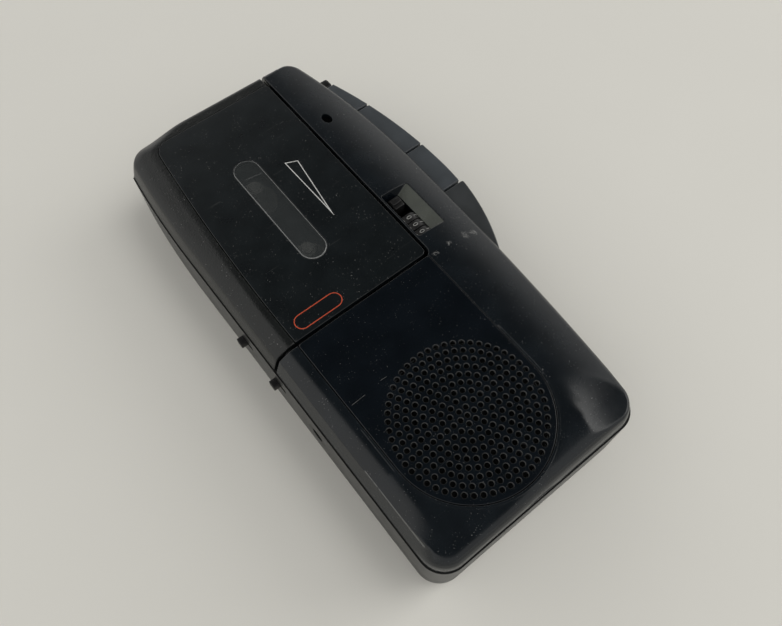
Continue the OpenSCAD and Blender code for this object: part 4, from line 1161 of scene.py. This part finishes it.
# %% Knobs
RESET_SOFT, PAUSE_SOFT, SWITCH_SOFT = 0.2, 1.0, 0.5
SWITCH_HALF, SWITCH_LOW, SWITCH_HIGH = 0.95, 11.0, 13.0
RIB_AT, RIB_HALF, RIB_PROUD, RIB_DEEP, RIB_IN = (-0.5, 0.0, 0.5), 0.2, 0.05, 1.0, 0.2
reset_top = box_mm("reset_button")[1][2]
reset_foot = ((12.8, 6.8, 19.0), (15.5, 9.7, reset_top - 0.6))
reset_ridge = ((12.9, 7.7, 20.0), (15.4, 9.3, reset_top - 0.1))
reset_cap = blocks("reset_cap", [reset_foot, reset_ridge], RESET_SOFT, drum_black)
wears(reset_cap, "reset_key", "reset_button")
pause_low, pause_high = box_mm("pause_switch")
pause_head = ((23.2, 50.9, 14.1), (pause_high[0] + 0.5, 53.7, 17.2))
pause_stem = ((pause_low[0], 51.4, 14.9), (24.0, 53.0, 16.3))
pause_knob = blocks("pause_knob", [pause_head, pause_stem], PAUSE_SOFT, knob_black, 5)
wears(pause_knob, "pause_key", "pause_switch")
for node, body, middle in (("tape_speed_switch", "speed_key", 5.8), ("voice_switch", "voice_key", -6.95)):
    low, high = box_mm(node)
    boxes = [((low[0], middle - SWITCH_HALF, SWITCH_LOW), (high[0], middle + SWITCH_HALF, SWITCH_HIGH))]
    for at in RIB_AT:
        rib_low = (low[0] - RIB_PROUD, middle + at - RIB_HALF, SWITCH_LOW + RIB_IN)
        rib_high = (low[0] + RIB_DEEP, middle + at + RIB_HALF, SWITCH_HIGH - RIB_IN)
        boxes.append((rib_low, rib_high))
    wears(blocks(node + "_knob", boxes, SWITCH_SOFT, knob_black), body, node)
print("knobs: 4")

# %% [markdown]
# ## Keys down the side
# The keys follow one bowed line that runs past the case. Each is a block with a soft edge all round,
# cut from the same two arcs, so the row reads as one curve with thin gaps.

# %% Buttons and wind lever
KEY_X, KEY_Y = 32.3, 12.9
KEY_R_TOP, KEY_R_LOW = 125.0, 66.0
LEVER_X, LEVER_Y, LEVER_R = 33.1, 12.4, 56.0
KEY_IN, KEY_LOW, KEY_HIGH, KEY_SOFT = 19.8, 8.2, 18.2, 0.45
KEY_CORNER, LEVER_CORNER, KEY_SHOWS = 0.35, 1.0, 22.8
KEY_ROWS = (0.0, 0.03, 0.08, 0.15, 0.25, 0.36, 0.5, 0.8)


# The outer line of the row of keys, and of the lever that swells past it, as x at a height y
def key_line(y, e=0.0):
    big = np.where(y > KEY_Y, KEY_R_TOP, KEY_R_LOW)
    return KEY_X - big + np.sqrt((big - e) ** 2 - (y - KEY_Y) ** 2)


def lever_line(y, e=0.0):
    return LEVER_X - LEVER_R + np.sqrt((LEVER_R - e) ** 2 - (y - LEVER_Y) ** 2)


# A key's ends are softened only where it shows outside the case
def key(node, body, finish, line=key_line, corner=KEY_CORNER):
    low, high = (round(float(v[1]), 2) for v in box_mm(node))

    def band_inside(x, y):
        return line(y) - x

    def ends(y):
        return np.minimum(y - low, high - y)

    def keep(x, y):
        return np.minimum(rounded(band_inside(x, y), ends(y), corner), x - KEY_IN)

    def edge(x, y):
        side = np.where(x > KEY_SHOWS, ends(y) * 1.4 + 0.06, 9.0)
        return np.minimum(band_inside(x, y), side)

    lines = [even([(KEY_IN, low), (KEY_IN, high)], 0.8)]
    for e in KEY_ROWS:
        y = np.arange(low, high + 0.2, 0.4)
        lines += [np.stack([line(y, e), y], 1)]
        lines += [even([(KEY_IN, yy), (40, yy)], 0.4) for yy in (low + e, high - e)]
    cap = plate(
        node + "_cap", lines, keep, lambda x, y: KEY_HIGH - round_off(edge(x, y), KEY_SOFT),
        lambda x, y: KEY_LOW + round_off(edge(x, y), KEY_SOFT), finish, 1.2)
    wears(cap, body, node)


for name in ("record", "play", "stop"):
    key(name + "_button", name + "_key", button_grey)
key("wind_lever", "wind_key", lever_grey, lever_line, LEVER_CORNER)

# %% [markdown]
# ## Return springs
# Behind each of the three upper keys a coil spring pushes against an upright tab of the deck. A spring
# follows a rule, so Geometry Nodes sweeps a small circle along a spiral.

# %% Springs
SPRING_TURNS, SPRING_WIRE = 5, 0.2


def spring(node):
    low, high = box_mm(node)
    middle = (low + high) / 2
    length = high[0] - low[0]
    make = Maker(
        node, Turns=float(SPRING_TURNS), Radius=((high - low)[1] / 2 - SPRING_WIRE) * MM,
        Wire=SPRING_WIRE * MM, Length=(length - 2 * SPRING_WIRE) * MM)
    spiral = make.node("GeometryNodeCurveSpiral", {}, {
        "Resolution": 24, "Rotations": make.given("Turns"), "Start Radius": make.given("Radius"),
        "End Radius": make.given("Radius"), "Height": make.given("Length")})
    wire = make.node("GeometryNodeCurvePrimitiveCircle", {}, {
        "Resolution": 8, "Radius": make.given("Wire")})
    coil = make.node("GeometryNodeCurveToMesh", {}, {
        "Curve": spiral, "Profile Curve": wire, "Fill Caps": True})
    coil = make.node("GeometryNodeSetShadeSmooth", {}, {0: coil})
    start = ((low[0] + SPRING_WIRE) * MM, middle[1] * MM, middle[2] * MM)
    laid = make.node("GeometryNodeTransform", {}, {
        "Geometry": coil, "Translation": start, "Rotation": (0, math.pi / 2, 0)})
    piece = wears(make.piece(node + "_coil", laid, steel), "case", node)
    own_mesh(piece)


for name in ("record", "play", "stop"):
    spring(name + "_spring")

# %% [markdown]
# ## The back shell and battery cover
# Their shape is right as built, but a CAD mesh is a bag of loose triangles. A copy with its doubles
# merged can be shaded smooth, with sharp edges kept where faces meet at a steep angle.

# %% Smooth copies
def smooth_copy(node, finish, angle=32, merge=0.004):
    work = bmesh.new()
    work.from_mesh(frame["nodes"][node].data)
    bmesh.ops.remove_doubles(work, verts=work.verts, dist=merge * MM)
    bmesh.ops.dissolve_limit(
        work, angle_limit=math.radians(0.3), use_dissolve_boundaries=False, verts=work.verts,
        edges=work.edges)
    made = smooth_piece(node + "_skin", work, finish, angle)
    weigh = made.modifiers.new("weigh", "WEIGHTED_NORMAL")
    weigh.keep_sharp = True
    weigh.weight = 80
    return made


wears(smooth_copy("rear_shell", back_black), "case", "rear_shell")
wears(smooth_copy("battery_cover", back_black), "cover", "battery_cover")
print("smooth copies: 2")

# %% [markdown]
# ## Table and lamps
# The table is one large pale sheet. A bright room all round leaves a soft shadow on every side, with
# one dark patch of ceiling where the flat face mirrors it, so the face stays black while the bevels
# shine grey. A window and a ceiling lamp, both on the right, give the shadow a side. The ceiling lamp
# isn't mirrored: it hangs close to what the flat face reflects, and would turn the black face grey.

# %% Table and lamps
TABLE_DARK, TABLE_PALE, CLOUD = (0.62, 0.61, 0.57), (0.65, 0.64, 0.60), 60.0
HALF, UNDER = 1500, -0.05
table_finish = Finish("table_top")
cloud = table_finish.noise(CLOUD, 3)
table_finish.set(Base_Color=table_finish.blend(cloud, TABLE_DARK, TABLE_PALE), Roughness=0.6)
corners = [(-HALF, -HALF, UNDER), (HALF, -HALF, UNDER), (HALF, HALF, UNDER), (-HALF, HALF, UNDER)]
solid("table", corners, [(0, 1, 2, 3)], table_finish.material)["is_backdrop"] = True


def lamp(name, place, size, power, tint):
    light = bpy.data.lights.new(name, "AREA")
    light.shape = "SQUARE"
    light.energy = power
    light.size = size
    light.color = tint
    made = shown(name, light)
    made.location = place
    made.rotation_euler = (-Vector(place)).to_track_quat("-Z", "Y").to_euler()
    return made


lamp("window_lamp", place=(2.36, -0.86, 1.63), size=1.7, power=22.0, tint=(1.0, 0.99, 0.96))
ceiling = lamp("ceiling_lamp", place=(0.80, -0.46, 1.99), size=1.0, power=13.0, tint=(1.0, 0.99, 0.97))
ceiling.visible_glossy = False
print("table and lamps: 3")

# %% Room
BACK_LIGHT, NEAR_LIGHT, PATCH_LIGHT = 1.05, 0.75, 0.03
PATCH_TO = (0.320, 0.250, 0.914)
PATCH_EDGE, PATCH_CORE = math.cos(math.radians(48)), math.cos(math.radians(23))
ROOM_TINT = (1.0, 0.99, 0.965, 1)
world = bpy.data.worlds.new("room")
bpy.context.scene.world = world
world.use_nodes = True
room = Tree(world.node_tree)
way = room.node("ShaderNodeTexCoord")
toward = room.node("ShaderNodeVectorMath", {"operation": "DOT_PRODUCT"}, {0: way, 1: PATCH_TO}, out=1)
patch = room.node("ShaderNodeMapRange", {"interpolation_type": "SMOOTHSTEP"}, {
    "Value": toward, "From Min": PATCH_EDGE, "From Max": PATCH_CORE, "To Min": 0.0, "To Max": 1.0})
depth = room.node("ShaderNodeSeparateXYZ", {}, {0: way}, out=1)
walls = room.node("ShaderNodeMapRange", {"interpolation_type": "SMOOTHSTEP"}, {
    "Value": depth, "From Min": -0.4, "From Max": 0.1, "To Min": NEAR_LIGHT, "To Max": BACK_LIGHT})
sky = world.node_tree.nodes["Background"]
sky.inputs["Color"].default_value = ROOM_TINT
room.feed(sky.inputs["Strength"], walls * (1 - patch) + PATCH_LIGHT * patch)
print("room light from", NEAR_LIGHT, "to", BACK_LIGHT)

# %% Size of the scene
low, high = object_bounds()
